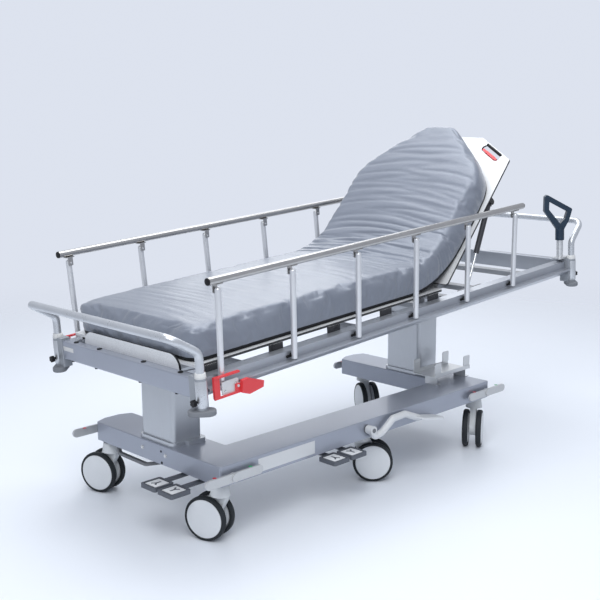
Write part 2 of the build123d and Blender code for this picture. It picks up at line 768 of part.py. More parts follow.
# Clamp screws with knobs, one for each socket
with BuildPart() as clamp_knobs:
    for corner_s, side in corners:
        outward = -1 if corner_s < head_socket_s / 2 else 1
        face = corner_s + outward * socket_radius
        knob_plane = Plane(origin=frame_point(face, side * socket_half_width, -36), x_dir=(0, 1, 0),
                           z_dir=along * outward)
        with BuildSketch(knob_plane):
            Circle(4.5)
        extrude(amount=14)
        with BuildSketch(knob_plane.offset(8)):
            Circle(11)
            with PolarLocations(11, 6):
                Circle(2.6, mode=Mode.SUBTRACT)
        extrude(amount=12)
save(clamp_knobs.part, "clamp_knobs")


def push_bar(socket_s, bar_out, bar_rise, name):
    """A bent tube handle whose two legs stand in the corner sockets."""
    bar_s = socket_s + bar_out
    with BuildPart() as bar:
        with BuildLine() as route:
            FilletPolyline(
                frame_point(socket_s, -socket_half_width, block_top - push_bar_depth),
                frame_point(socket_s, -socket_half_width, push_bar_kink),
                frame_point(bar_s, -socket_half_width, bar_rise),
                frame_point(bar_s, socket_half_width, bar_rise),
                frame_point(socket_s, socket_half_width, push_bar_kink),
                frame_point(socket_s, socket_half_width, block_top - push_bar_depth),
                radius=push_bar_bend,
            )
        with BuildSketch(route.line ^ 0):
            Circle(push_tube_diameter / 2)
            Circle(push_tube_diameter / 2 - 2, mode=Mode.SUBTRACT)
        sweep(path=route.line)
    save(bar.part, name)


push_bar(foot_socket_s, -foot_bar_out, foot_bar_rise, "foot_push_bar")
push_bar(head_socket_s, head_bar_out, head_bar_rise, "head_push_bar")

# Lying board, its foot lip and the pads it rests on
board_start = foot_beam_face + cross_beam_length + board_thickness
board_end = backrest_hinge_s - 14
with BuildPart() as lying_board:
    with BuildSketch(level_plane(h=board_bottom)):
        with Locations(((board_start + board_end) / 2, 0)):
            RectangleRounded(board_end - board_start, 2 * board_half_width, board_corner)
    extrude(amount=board_thickness)
    with BuildSketch(cross_plane(board_start - board_thickness)):
        with BuildLine():
            lip_foot = profile_bottom + 50
            Polyline((-foot_lip_half_width, lip_foot), (foot_lip_half_width, lip_foot),
                     (foot_lip_half_width, foot_lip_top), (-foot_lip_half_width, foot_lip_top), close=True)
        lip = make_face()
        fillet(lip.vertices().group_by(Axis.Y)[-1], foot_lip_corner)
    extrude(amount=board_thickness)
    with BuildSketch(level_plane(h=profile_top)):
        for number in range(5):
            for side in (near, far):
                with Locations((board_start + 60 + number * (board_end - board_start - 120) / 4,
                                side * (board_half_width - 4 + 1))):
                    RectangleRounded(60, 8, 2)
    extrude(amount=board_bottom - profile_top)
save(lying_board.part, "lying_board")


def shouldered_outline(start, end, shoulder, half_width, head_half_width, corner):
    """An outline that narrows at its head end, drawn on the backrest's plane."""
    with BuildLine() as outline:
        Polyline((start, -half_width), (shoulder, -half_width), (end, -head_half_width),
                 (end, head_half_width), (shoulder, half_width), (start, half_width), close=True)
    face = make_face(outline.edges())
    fillet(face.vertices(), corner)


# Backrest board with the grip slot in its near shoulder, its hinge straps and the gas spring lugs
shoulder_angle = degrees(atan2(board_half_width - backrest_head_half_width, backrest_length - backrest_shoulder))
slot_u = (backrest_shoulder + backrest_length) / 2 - 24
slot_y = -(board_half_width + backrest_head_half_width) / 2 + 14
with BuildPart() as backrest_board:
    with BuildSketch(back_plane(-board_thickness / 2)):
        shouldered_outline(backrest_start, backrest_length, backrest_shoulder, board_half_width,
                           backrest_head_half_width, 10)
        with Locations(Location((slot_u, slot_y), shoulder_angle)):
            SlotOverall(124, 34, mode=Mode.SUBTRACT)
    extrude(amount=board_thickness)
    with BuildSketch(back_plane(-board_thickness / 2)):
        for y in strap_y:
            with Locations((backrest_start / 2 + 24, y)):
                Rectangle(backrest_start + 48, 40)
    extrude(amount=-4)
    for y in strap_y:
        with BuildSketch(side_plane(y + 20, backrest_hinge_s, hinge_h)):
            Circle(knuckle_radius)
        extrude(amount=40)
    with BuildSketch(side_plane(board_half_width, backrest_hinge_s, hinge_h)):
        Circle(hinge_pin_diameter / 2 + running_fit)
    extrude(amount=2 * board_half_width, mode=Mode.SUBTRACT)
    for side in (near, far):
        lug_plane = Plane(origin=frame_point(backrest_hinge_s, side * strut_half_width + 18, hinge_h),
                          x_dir=back_along, z_dir=(0, -1, 0))
        for lug_offset in (0, 30):
            with BuildSketch(lug_plane.offset(lug_offset)):
                with Locations((strut_along_board, -strut_below_board)):
                    Circle(11)
                with Locations((strut_along_board, -strut_below_board / 2 - 2)):
                    Rectangle(22, strut_below_board - 4)
            extrude(amount=6)
        with BuildSketch(lug_plane):
            with Locations((strut_along_board, -strut_below_board)):
                Circle(strut_pin_diameter / 2)
        extrude(amount=36)
save(backrest_board.part, "backrest_board")

# Release lever inside the grip slot
with BuildPart() as release_lever:
    lever_bottom = -board_thickness / 2 - body_gap - 5
    with BuildSketch(back_plane(lever_bottom)):
        with Locations(Location((slot_u - 6, slot_y + 5), shoulder_angle)):
            SlotOverall(104, 10)
    extrude(amount=3 - lever_bottom)
    with BuildSketch(back_plane(lever_bottom)):
        with Locations(Location((slot_u - 18, slot_y + 13), shoulder_angle)):
            RectangleRounded(70, 44, 6)
    extrude(amount=5)
save(release_lever.part, "release_lever")

# Gas springs: each cylinder hangs from the backrest, its rod ends in the slotted plate
strut_head = (frame_point(backrest_hinge_s, 0, hinge_h) + back_along * strut_along_board
              - back_upward * strut_below_board)
strut_foot = frame_point(strut_foot_s, 0, strut_foot_h)
strut_dir = (strut_foot - strut_head).normalized()
with BuildPart() as strut_cylinders:
    for side in (near, far):
        top = strut_head + Vector(0, side * strut_half_width, 0)
        with BuildSketch(Plane(origin=top + strut_dir * 10, x_dir=(0, 1, 0), z_dir=strut_dir)):
            Circle(strut_tube_diameter / 2)
            Circle(strut_rod_diameter / 2 + running_fit, mode=Mode.SUBTRACT)
        extrude(amount=strut_tube_length)
        with BuildSketch(Plane(origin=top + Vector(0, 10.5, 0), x_dir=strut_dir, z_dir=(0, -1, 0))):
            Circle(11)
            with Locations((8, 0)):
                Rectangle(16, 20)
            Circle(strut_pin_diameter / 2 + running_fit, mode=Mode.SUBTRACT)
        extrude(amount=21)
save(strut_cylinders.part, "strut_cylinders")

with BuildPart() as strut_rods:
    for side in (near, far):
        low = strut_foot + Vector(0, side * strut_half_width, 0)
        with BuildSketch(Plane(origin=low, x_dir=(0, 1, 0), z_dir=strut_dir * -1)):
            Circle(strut_rod_diameter / 2)
        extrude(amount=strut_rod_length)
        with BuildSketch(Plane(origin=low + Vector(0, 6, 0), x_dir=strut_dir, z_dir=(0, -1, 0))):
            Circle(10)
        extrude(amount=12)
        with BuildSketch(Plane(origin=low + Vector(0, 22, 0), x_dir=strut_dir, z_dir=(0, -1, 0))):
            Circle(strut_pin_diameter / 2)
        extrude(amount=44)
save(strut_rods.part, "strut_rods")


# Mattress: two solids that part along the fold
mattress_start = board_start + 10
fold = tan(radians(backrest_top_angle / 2))
mattress_bottom = board_top + body_gap
fold_gap = 12.0
seat_end = backrest_hinge_s - fold_gap
with BuildPart() as mattress_seat:
    with BuildSketch(side_plane(mattress_half_width)):
        with BuildLine():
            Polyline((mattress_start, mattress_bottom), (seat_end, mattress_bottom),
                     (seat_end - mattress_thickness * fold, mattress_bottom + mattress_thickness),
                     (mattress_start, mattress_bottom + mattress_thickness), close=True)
        make_face()
    extrude(amount=2 * mattress_half_width)
    upright = [edge for edge in mattress_seat.edges() if abs(edge.tangent_at(0.5).dot(upward)) > 0.99]
    fillet(sorted(upright, key=lambda edge: edge.center().X)[:2], mattress_corner)
save(mattress_seat.part, "mattress_seat")

back_bottom = board_thickness / 2 + body_gap
with BuildPart() as mattress_back:
    with BuildSketch(back_plane(back_bottom)):
        shouldered_outline(fold_gap, mattress_back_length, mattress_back_shoulder, mattress_half_width,
                           mattress_head_half_width, 30)
    extrude(amount=mattress_thickness)
    cut_plane = Plane(origin=frame_point(backrest_hinge_s, mattress_half_width + 10, hinge_h), x_dir=back_along,
                      z_dir=(0, -1, 0))
    with BuildSketch(cut_plane):
        with BuildLine():
            Polyline((-10, 0), (fold_gap, 0), (fold_gap, back_bottom),
                     (fold_gap + mattress_thickness * fold, back_bottom + mattress_thickness),
                     (fold_gap + mattress_thickness * fold, back_bottom + mattress_thickness + 20),
                     (-10, back_bottom + mattress_thickness + 20), close=True)
        make_face()
    extrude(amount=2 * mattress_half_width + 20, mode=Mode.SUBTRACT)
save(mattress_back.part, "mattress_back")


def post_y(side, h):
    """How far out a leaning post's axis stands at height h."""
    return side * (post_half_width + post_lean * h / rail_height)


def post(side, post_s, name):
    """A leaning rail post with a domed top, a foot pin and a top pin."""
    low = frame_point(post_s, post_y(side, post_pivot_h - post_end_radius), post_pivot_h - post_end_radius)
    top_h = post_top_pivot_h + post_end_radius
    high = frame_point(post_s, post_y(side, top_h), top_h)
    lean = (high - low).normalized()
    inward = -side
    with BuildPart() as tube:
        with BuildSketch(Plane(origin=low, x_dir=along, z_dir=lean)):
            Circle(post_diameter / 2)
        extrude(amount=(high - low).length)
        fillet(tube.edges().group_by(Axis.Z)[-1], post_diameter / 2 - 2)
        for pin_h, diameter, reach in ((post_pivot_h, post_pin_diameter, 26.0),
                                       (post_top_pivot_h, clip_pin_diameter, 17.0)):
            axis_y = post_y(side, pin_h)
            with BuildSketch(Plane(origin=frame_point(post_s, axis_y, pin_h), x_dir=along,
                                   z_dir=(0, inward, 0))):
                Circle(diameter / 2)
            extrude(amount=reach)
    save(tube.part, name)


def rail(side, name):
    """A top rail tube with the clips that hang on the posts' top pins."""
    rail_y = post_y(side, rail_height)
    clip_gap = body_gap + clip_length * post_lean / rail_height
    clip_y = post_y(side, post_top_pivot_h) - side * (post_diameter / 2 + clip_gap)
    with BuildPart() as tube:
        with BuildSketch(cross_plane(rail_start, rail_y, rail_height)):
            Circle(rail_diameter / 2)
            Circle(rail_diameter / 2 - 2, mode=Mode.SUBTRACT)
        extrude(amount=rail_end - rail_start)
        for end_s, way in ((rail_start, -1), (rail_end, 1)):
            with BuildSketch(Plane(origin=frame_point(end_s, rail_y, rail_height), x_dir=(0, 1, 0),
                                   z_dir=along * way)):
                Circle(rail_diameter / 2)
            extrude(amount=3)
        saddle_h = rail_height - rail_diameter / 2 + 1
        clip_height = saddle_h - post_top_pivot_h + clip_length / 2
        with BuildSketch(side_plane(max(clip_y, clip_y - side * clip_thickness))):
            for post_s in post_places:
                with Locations((post_s, saddle_h - clip_height / 2)):
                    RectangleRounded(clip_length, clip_height, 3)
                with Locations((post_s, post_top_pivot_h)):
                    Circle(clip_pin_diameter / 2 + running_fit, mode=Mode.SUBTRACT)
        extrude(amount=clip_thickness)
        saddle_in = clip_y - side * clip_thickness
        saddle_out = rail_y + side * rail_diameter / 4
        with BuildSketch(level_plane(h=saddle_h)):
            for post_s in post_places:
                with Locations((post_s, (saddle_in + saddle_out) / 2)):
                    RectangleRounded(saddle_length, abs(saddle_out - saddle_in), 2)
        extrude(amount=-saddle_thickness)
        with BuildSketch(cross_plane(rail_start, rail_y, rail_height)):
            Circle(rail_diameter / 2 - 2)
        extrude(amount=rail_end - rail_start, mode=Mode.SUBTRACT)
    save(tube.part, name)


for side, side_name in ((near, "near"), (far, "far")):
    for number, post_s in enumerate(post_places, start=1):
        post(side, post_s, f"{side_name}_post_{number}")
    rail(side, f"{side_name}_rail")

# Fold latches beside the first posts
latch_pivot_s = 22.0
latch_pivot_h = -18.0
latch_outer = profile_half_width + profile_ledge
with BuildPart() as latch_housings:
    for side in (near, far):
        plate_y = latch_outer + 4 if side == far else -latch_outer
        with BuildSketch(side_plane(plate_y)):
            with Locations((-4, -15)):
                RectangleRounded(66, 40, 4)
        extrude(amount=4)
        pin_y = latch_outer + 13 if side == far else -latch_outer
        with BuildSketch(side_plane(pin_y)):
            with Locations((latch_pivot_s, latch_pivot_h)):
                Circle(4)
        extrude(amount=13)
save(latch_housings.part, "latch_housings")


def latch_lever(side, name):
    """A red latch lever: catch block, top plate, lower bar and angled tread."""
    bar_in = latch_outer + 4 + body_gap
    with BuildPart() as lever:
        for half_height, centre_s, centre_h, half_length, depth_from, depth in (
            (3.5, -18, -38.5, 53, bar_in, 5),
            (14.0, 22, -26, 9, bar_in, 5),
        ):
            start_y = depth_from + depth if side == far else -depth_from
            with BuildSketch(side_plane(start_y)):
                with Locations((centre_s, centre_h)):
                    Rectangle(2 * half_length, 2 * half_height)
            extrude(amount=depth)
        lever_in = latch_outer + body_gap
        block_y = bar_in + 5 if side == far else -lever_in
        with BuildSketch(side_plane(block_y)):
            with Locations((-60, -8)):
                Rectangle(22, 62)
        extrude(amount=bar_in + 5 - lever_in)
        plate_y = bar_in + 7 if side == far else -lever_in
        with BuildSketch(side_plane(plate_y)):
            with Locations((-20, 26)):
                Rectangle(102, 6)
        extrude(amount=bar_in + 7 - lever_in)
        tread_y = bar_in + 14 if side == far else -bar_in
        with BuildSketch(side_plane(tread_y)):
            with BuildLine():
                Polyline((30, -42), (36, -4), (60, -2), (122, -26), (118, -46), (60, -54), close=True)
            make_face()
        extrude(amount=14)
        with BuildSketch(side_plane(2 * profile_half_width)):
            with Locations((latch_pivot_s, latch_pivot_h)):
                Circle(4 + running_fit)
        extrude(amount=4 * profile_half_width, mode=Mode.SUBTRACT)
    save(lever.part, name)


latch_lever(near, "near_latch_lever")
latch_lever(far, "far_latch_lever")

# Pull handle: a ribbed sleeve on a foot plate, and the D grip on its shaft
with BuildPart() as handle_socket:
    with BuildSketch(level_plane(handle_s, -handle_half_width, block_top)):
        RectangleRounded(64, 44, 10)
    extrude(amount=6)
    with BuildSketch(level_plane(handle_s, -handle_half_width, block_top)):
        Circle(handle_sleeve_diameter / 2)
    extrude(amount=handle_grip_bottom - block_top - 1)
    for number in range(9):
        with BuildSketch(level_plane(handle_s, -handle_half_width, block_top + 8 + 8 * number)):
            Circle(handle_sleeve_diameter / 2 + 1.5)
        extrude(amount=4)
    with BuildSketch(level_plane(handle_s, -handle_half_width, block_top)):
        Circle(handle_shaft_diameter / 2 + running_fit)
    extrude(amount=2 * handle_grip_bottom, mode=Mode.SUBTRACT)
save(handle_socket.part, "handle_socket")

with BuildPart() as handle_grip:
    with BuildSketch(level_plane(handle_s, -handle_half_width, block_top + 1)):
        Circle(handle_shaft_diameter / 2)
    extrude(amount=handle_grip_bottom - block_top)
    with BuildSketch(level_plane(handle_s, -handle_half_width, handle_grip_bottom)):
        Circle(19)
    extrude(amount=handle_yoke - handle_grip_bottom)
    grip_face = Plane(origin=frame_point(handle_s, -handle_half_width, handle_yoke), x_dir=(1, -1, 0),
                      z_dir=(-1, -1, 0))
    with BuildSketch(grip_face.offset(-15)):
        with BuildLine():
            Polyline((-14, -14), (14, -14), (36, 30), (48, 78), (-62, 138), (-72, 130), (-72, 66), close=True)
        outer_grip = make_face()
        fillet(outer_grip.vertices(), 8)
        with BuildLine():
            Polyline((-2, 14), (18, 36), (26, 66), (-52, 108), (-52, 74), close=True)
        make_face(mode=Mode.SUBTRACT)
    extrude(amount=30)
save(handle_grip.part, "handle_grip")
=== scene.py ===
"""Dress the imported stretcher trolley: finishes, mattress, wheels, small fittings, studio and camera."""

import json
import logging
import math
from dataclasses import dataclass
from enum import Enum
from functools import cached_property
from typing import Iterable, Sequence

import bmesh
import bpy
from mathutils import Matrix, Vector, noise

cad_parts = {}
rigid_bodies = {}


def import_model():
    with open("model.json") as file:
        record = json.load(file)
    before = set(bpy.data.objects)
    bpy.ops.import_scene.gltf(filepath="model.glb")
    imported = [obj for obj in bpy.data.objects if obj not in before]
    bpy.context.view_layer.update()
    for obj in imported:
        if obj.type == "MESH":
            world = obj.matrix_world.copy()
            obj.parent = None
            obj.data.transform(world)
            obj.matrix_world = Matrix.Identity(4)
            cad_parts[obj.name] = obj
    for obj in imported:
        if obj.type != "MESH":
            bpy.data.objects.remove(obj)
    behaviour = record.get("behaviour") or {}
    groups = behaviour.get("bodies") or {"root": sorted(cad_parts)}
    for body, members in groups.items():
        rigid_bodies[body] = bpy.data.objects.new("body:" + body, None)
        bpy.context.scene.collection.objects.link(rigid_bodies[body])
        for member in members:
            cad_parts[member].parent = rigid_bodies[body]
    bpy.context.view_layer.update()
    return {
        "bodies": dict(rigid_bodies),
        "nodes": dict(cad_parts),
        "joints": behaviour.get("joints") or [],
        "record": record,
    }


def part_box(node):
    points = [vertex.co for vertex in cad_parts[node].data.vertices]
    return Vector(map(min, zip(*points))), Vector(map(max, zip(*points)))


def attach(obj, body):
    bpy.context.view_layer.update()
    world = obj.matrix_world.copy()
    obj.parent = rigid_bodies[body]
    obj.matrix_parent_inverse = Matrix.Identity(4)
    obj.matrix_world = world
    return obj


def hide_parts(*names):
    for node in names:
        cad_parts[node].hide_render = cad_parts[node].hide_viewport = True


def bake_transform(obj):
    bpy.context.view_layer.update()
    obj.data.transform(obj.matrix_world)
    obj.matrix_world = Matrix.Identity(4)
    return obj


LOG = logging.getLogger("stretcher")
MM = 0.001
SHARP_CORNER = 0.6  # radians between faces above which an edge is rounded off


class Grain(Enum):
    """How a finish's surface is broken up: repeats per metre on x, y and z."""

    SMOOTH = (260, 260, 260)
    ORANGE_PEEL = (700, 700, 700)
    BRUSHED_UP = (1800, 1800, 14)
    BRUSHED_LONG = (10, 1600, 1600)
    MOULDED = (1300, 1300, 1300)
    WOVEN = (1500, 1500, 1500)


# Repeats per metre of the broad patches that every finish has
PATCH_SCALES = (7.0, 7.0, 7.0)


class Nodes:
    """Writes the node tree of one material or world."""

    def __init__(self, owner: bpy.types.ID, shader: str = "Principled BSDF") -> None:
        """Take over the tree, which has only its shader and output."""
        owner.use_nodes = True
        self.owner = owner
        self.tree = owner.node_tree
        self.shader = self.tree.nodes[shader]

    @cached_property
    def place(self) -> bpy.types.NodeSocket:
        """Object coordinates."""
        return self.add("ShaderNodeTexCoord").outputs["Object"]

    def add(self, kind: str, **values: object) -> bpy.types.Node:
        """Add a node and set its plain properties."""
        node = self.tree.nodes.new(kind)
        for key, value in values.items():
            setattr(node, key, value)
        return node

    def link(self, source: bpy.types.NodeSocket, target: bpy.types.NodeSocket) -> None:
        """Join two sockets."""
        self.tree.links.new(source, target)

    def stretched(self, scale: Sequence[float]) -> bpy.types.NodeSocket:
        """Object coordinates scaled on each axis, in repeats per metre."""
        sized = self.add("ShaderNodeMapping", vector_type="POINT")
        sized.inputs["Scale"].default_value = scale
        self.link(self.place, sized.inputs["Vector"])
        return sized.outputs["Vector"]

    def noise(self, vector: bpy.types.NodeSocket, detail: float = 2.0,
              rough: float = 0.5) -> bpy.types.NodeSocket:
        """Fractal noise of unit scale over a vector."""
        node = self.add("ShaderNodeTexNoise")
        node.inputs["Scale"].default_value = 1.0
        node.inputs["Detail"].default_value = detail
        node.inputs["Roughness"].default_value = rough
        self.link(vector, node.inputs["Vector"])
        return node.outputs["Fac"]

    def spread(self, source: bpy.types.NodeSocket, low: float, high: float) -> bpy.types.NodeSocket:
        """Map a signal of 0.3 to 0.7 onto the range from low to high."""
        node = self.add("ShaderNodeMapRange")
        node.inputs["From Min"].default_value = 0.3
        node.inputs["From Max"].default_value = 0.7
        node.inputs["To Min"].default_value = low
        node.inputs["To Max"].default_value = high
        self.link(source, node.inputs["Value"])
        return node.outputs["Result"]

    def math(self, operation: str, *values: object) -> bpy.types.NodeSocket:
        """The result of a math node over sockets or numbers."""
        node = self.add("ShaderNodeMath", operation=operation)
        for slot, value in zip(node.inputs, values):
            if isinstance(value, bpy.types.NodeSocket):
                self.link(value, slot)
            else:
                slot.default_value = value
        return node.outputs["Value"]

    def along(self, direction: Vector, normal: bool = False) -> bpy.types.NodeSocket:
        """The part of the position, or of the surface normal, along a unit direction."""
        source = self.add("ShaderNodeNewGeometry").outputs["Normal"] if normal else self.place
        node = self.add("ShaderNodeVectorMath", operation="DOT_PRODUCT")
        self.link(source, node.inputs[0])
        node.inputs[1].default_value = direction
        return node.outputs["Value"]

    def blend_colour(self, factor: bpy.types.NodeSocket, first: Sequence[float] | bpy.types.NodeSocket,
                     second: Sequence[float]) -> bpy.types.NodeSocket:
        """Mix two colours: a factor of 0 gives the first, 1 the second."""
        node = self.add("ShaderNodeMix", data_type="RGBA")
        self.link(factor, node.inputs["Factor"])
        if isinstance(first, bpy.types.NodeSocket):
            self.link(first, node.inputs["A"])
        else:
            node.inputs["A"].default_value = (*first, 1)
        node.inputs["B"].default_value = (*second, 1)
        return node.outputs["Result"]

    def bump(self, height: bpy.types.NodeSocket, depth: float, strength: float) -> None:
        """Feed a height in to the shader's normal, depth in metres."""
        node = self.add("ShaderNodeBump")
        node.inputs["Strength"].default_value = strength
        node.inputs["Distance"].default_value = depth
        self.link(height, node.inputs["Height"])
        self.link(node.outputs["Normal"], self.shader.inputs["Normal"])


@dataclass(frozen=True)
class Finish:
    """A surface finish: colour, gloss and fine texture."""

    name: str
    colour: tuple[float, float, float]
    roughness: float
    metallic: float = 0.0
    grain: Grain = Grain.SMOOTH
    mottle: float = 0.06
    depth: float = 0.00004
    coat: float = 0.0
    sheen: float = 0.0
    specular: float = 0.5

    def dress(self, nodes: Nodes) -> bpy.types.NodeSocket:
        """Write the shader's values and patterns.

        Args:
            nodes: The material's writer.

        Returns:
            The colour socket that the shader uses.
        """
        shader = nodes.shader
        shader.inputs["Metallic"].default_value = self.metallic
        shader.inputs["Specular IOR Level"].default_value = self.specular
        shader.inputs["Coat Weight"].default_value = self.coat
        shader.inputs["Coat Roughness"].default_value = 0.12
        shader.inputs["Sheen Weight"].default_value = self.sheen
        shader.inputs["Sheen Roughness"].default_value = 0.4
        fine_signal = nodes.noise(nodes.stretched(self.grain.value), 3.0)
        broad_signal = nodes.noise(nodes.stretched(PATCH_SCALES), 4.0, 0.6)
        dull = tuple(channel * (1 - 2 * self.mottle) for channel in self.colour)
        bright = tuple(min(channel * (1 + self.mottle), 1.0) for channel in self.colour)
        both = nodes.math("MULTIPLY", nodes.math("ADD", fine_signal, broad_signal), 0.5)
        colour = nodes.blend_colour(nodes.spread(both, 0.0, 1.0), dull, bright)
        nodes.link(colour, shader.inputs["Base Color"])
        rough = nodes.spread(both, self.roughness * 0.85, min(self.roughness * 1.18, 1.0))
        nodes.link(rough, shader.inputs["Roughness"])
        nodes.bump(fine_signal, self.depth, 0.6)
        return colour

    def material(self) -> bpy.types.Material:
        """The finish's material, made once."""
        found = bpy.data.materials.get(self.name)
        if found:
            return found
        material = bpy.data.materials.new(self.name)
        self.dress(Nodes(material))
        material.diffuse_color = (*self.colour, 1)
        return material


@dataclass(frozen=True)
class EdgedLaminate(Finish):
    """White laminate whose cut edges show a black core; faces are told by their normals."""

    faces: tuple[tuple[Vector, Vector, float], ...] = ()
    core: tuple[float, float, float] = (0.012, 0.012, 0.014)
    edge_limit: float = 0.6

    def dress(self, nodes: Nodes) -> bpy.types.NodeSocket:
        """Write the laminate, dark wherever the surface is square to its board's own face."""
        colour = super().dress(nodes)
        cut = None
        for facing, along, limit in self.faces:
            level = nodes.math("ABSOLUTE", nodes.along(facing, normal=True))
            edge = nodes.math("LESS_THAN", level, self.edge_limit)
            zone = nodes.math("GREATER_THAN", nodes.along(along), limit)
            edge = nodes.math("MULTIPLY", edge, zone)
            cut = edge if cut is None else nodes.math("MAXIMUM", cut, edge)
        mixed = nodes.blend_colour(cut, colour, self.core)
        nodes.link(mixed, nodes.shader.inputs["Base Color"])
        return mixed


@dataclass(frozen=True)
class CoverCloth(Finish):
    """Coated mattress cover with a tight weave, faint stains and softened highlights."""

    threads: float = 1250.0
    thread_height: float = 0.035
    crinkles: tuple[float, float, float] = (60, 26, 60)
    crinkle_depth: float = 0.0016

    def dress(self, nodes: Nodes) -> bpy.types.NodeSocket:
        """Write the weave as crossed threads over the coated base."""
        colour = super().dress(nodes)
        threads = nodes.stretched((self.threads,) * 3)
        waves = []
        for direction in ("X", "Y", "Z"):
            wave = nodes.add("ShaderNodeTexWave", bands_direction=direction)
            wave.inputs["Scale"].default_value = 0.5
            wave.inputs["Distortion"].default_value = 0.4
            nodes.link(threads, wave.inputs["Vector"])
            waves.append(wave.outputs["Fac"])
        weave = nodes.math("ADD", nodes.math("ADD", waves[0], waves[1]), waves[2])
        crinkle = nodes.noise(nodes.stretched(self.crinkles), 5.0, 0.62)
        height = nodes.math("ADD", nodes.math("MULTIPLY", weave, self.thread_height), crinkle)
        nodes.bump(height, self.crinkle_depth, 0.55)
        return colour


@dataclass(frozen=True)
class Palette:
    """Every finish of the trolley, by the record's slot name."""

    frame_paint: Finish = Finish("silver_coat", (0.34, 0.365, 0.43), 0.34, 0.45, Grain.ORANGE_PEEL, 0.05,
                                 0.00003, 0.25)
    column_metal: Finish = Finish("anodised_column", (0.52, 0.54, 0.57), 0.34, 0.85, Grain.BRUSHED_UP,
                                  0.05, 0.00002)
    profile_metal: Finish = Finish("anodised_profile", (0.45, 0.47, 0.51), 0.36, 0.8, Grain.BRUSHED_LONG,
                                   0.05, 0.00002)
    post_metal: Finish = Finish("satin_post", (0.76, 0.77, 0.79), 0.33, 0.7, Grain.BRUSHED_UP, 0.04,
                                0.00002)
    rail_metal: Finish = Finish("satin_rail", (0.50, 0.49, 0.48), 0.24, 0.95, Grain.BRUSHED_LONG, 0.07,
                                0.00002)
    tube_metal: Finish = Finish("satin_tube", (0.62, 0.64, 0.67), 0.30, 0.7, Grain.SMOOTH, 0.05, 0.00002)
    brushed_sheet: Finish = Finish("brushed_sheet", (0.44, 0.43, 0.42), 0.30, 0.9, Grain.BRUSHED_UP, 0.12,
                                   0.00004)
    dark_steel: Finish = Finish("dark_steel", (0.14, 0.15, 0.16), 0.42, 0.4, Grain.ORANGE_PEEL)
    hidden_steel: Finish = Finish("grey_steel", (0.33, 0.34, 0.36), 0.45, 0.3, Grain.ORANGE_PEEL)
    beam_metal: Finish = Finish("silver_beam", (0.39, 0.415, 0.48), 0.32, 0.6, Grain.ORANGE_PEEL, 0.05,
                                0.00002, 0.2)
    head_panel: Finish = Finish("pale_panel", (0.36, 0.38, 0.42), 0.38, 0.4, Grain.ORANGE_PEEL, 0.05,
                                0.00002, 0.2)
    block_plastic: Finish = Finish("grey_block", (0.33, 0.35, 0.38), 0.40, 0.3, Grain.MOULDED, 0.06)
    bumper_rubber: Finish = Finish("bumper_rubber", (0.060, 0.072, 0.098), 0.55, 0.0, Grain.MOULDED, 0.1,
                                   0.00008)
    knob_plastic: Finish = Finish("black_knob", (0.010, 0.010, 0.012), 0.44, 0.0, Grain.MOULDED,
                                  specular=0.22)
    castor_housing: Finish = Finish("castor_housing", (0.52, 0.54, 0.56), 0.42, 0.0, Grain.MOULDED, 0.05,
                                    0.00004, 0.1)
    wheel_body: Finish = Finish("wheel_disc", (0.72, 0.74, 0.76), 0.36, 0.0, Grain.MOULDED, 0.04, 0.00003,
                                0.15)
    tyre_rubber: Finish = Finish("tyre_rubber", (0.022, 0.026, 0.030), 0.60, 0.0, Grain.MOULDED, 0.12,
                                 0.0001, specular=0.25)
    brake_bar: Finish = Finish("pale_brake_bar", (0.56, 0.57, 0.58), 0.38, 0.35, Grain.ORANGE_PEEL, 0.06,
                               0.00003, 0.2)
    pedal_plastic: Finish = Finish("pedal_frame", (0.11, 0.12, 0.14), 0.48, 0.1, Grain.MOULDED,
                                   specular=0.35)
    pedal_mark: Finish = Finish("pedal_mark", (0.78, 0.79, 0.80), 0.45, 0.0, Grain.MOULDED, 0.05)
    lever_white: Finish = Finish("white_lever", (0.70, 0.71, 0.72), 0.35, 0.1, Grain.ORANGE_PEEL, 0.05,
                                 0.00003, 0.2)
    latch_red: Finish = Finish("latch_red", (0.22, 0.008, 0.016), 0.38, 0.0, Grain.MOULDED, 0.08, 0.00003,
                               0.1)
    latch_plate: Finish = Finish("latch_plate", (0.47, 0.48, 0.49), 0.40, 0.5, Grain.ORANGE_PEEL)
    grip_petrol: Finish = Finish("petrol_grip", (0.008, 0.026, 0.052), 0.42, 0.0, Grain.MOULDED, 0.12,
                                 0.00008)
    ribbed_shaft: Finish = Finish("ribbed_shaft", (0.40, 0.41, 0.43), 0.30, 0.9, Grain.SMOOTH, 0.08)
    spring_black: Finish = Finish("spring_black", (0.008, 0.008, 0.010), 0.30, 0.0, Grain.SMOOTH, 0.1,
                                  0.00001, 0.2, specular=0.3)
    rod_chrome: Finish = Finish("chrome_rod", (0.72, 0.73, 0.74), 0.12, 1.0, Grain.SMOOTH, 0.03, 0.00001)
    band_black: Finish = Finish("band_black", (0.008, 0.009, 0.011), 0.60, 0.0, Grain.WOVEN, 0.2, 0.0001,
                                specular=0.2)
    label_pale: Finish = Finish("blank_label", (0.72, 0.72, 0.71), 0.45, 0.0, Grain.SMOOTH, 0.03)
    sign_red: Finish = Finish("red_dot", (0.55, 0.03, 0.05), 0.4, 0.0, Grain.MOULDED)
    sign_green: Finish = Finish("green_dot", (0.03, 0.38, 0.15), 0.4, 0.0, Grain.MOULDED)
    bright_screw: Finish = Finish("bright_screw", (0.70, 0.70, 0.69), 0.22, 1.0, Grain.SMOOTH, 0.05,
                                  0.00001)


PALETTE = Palette()


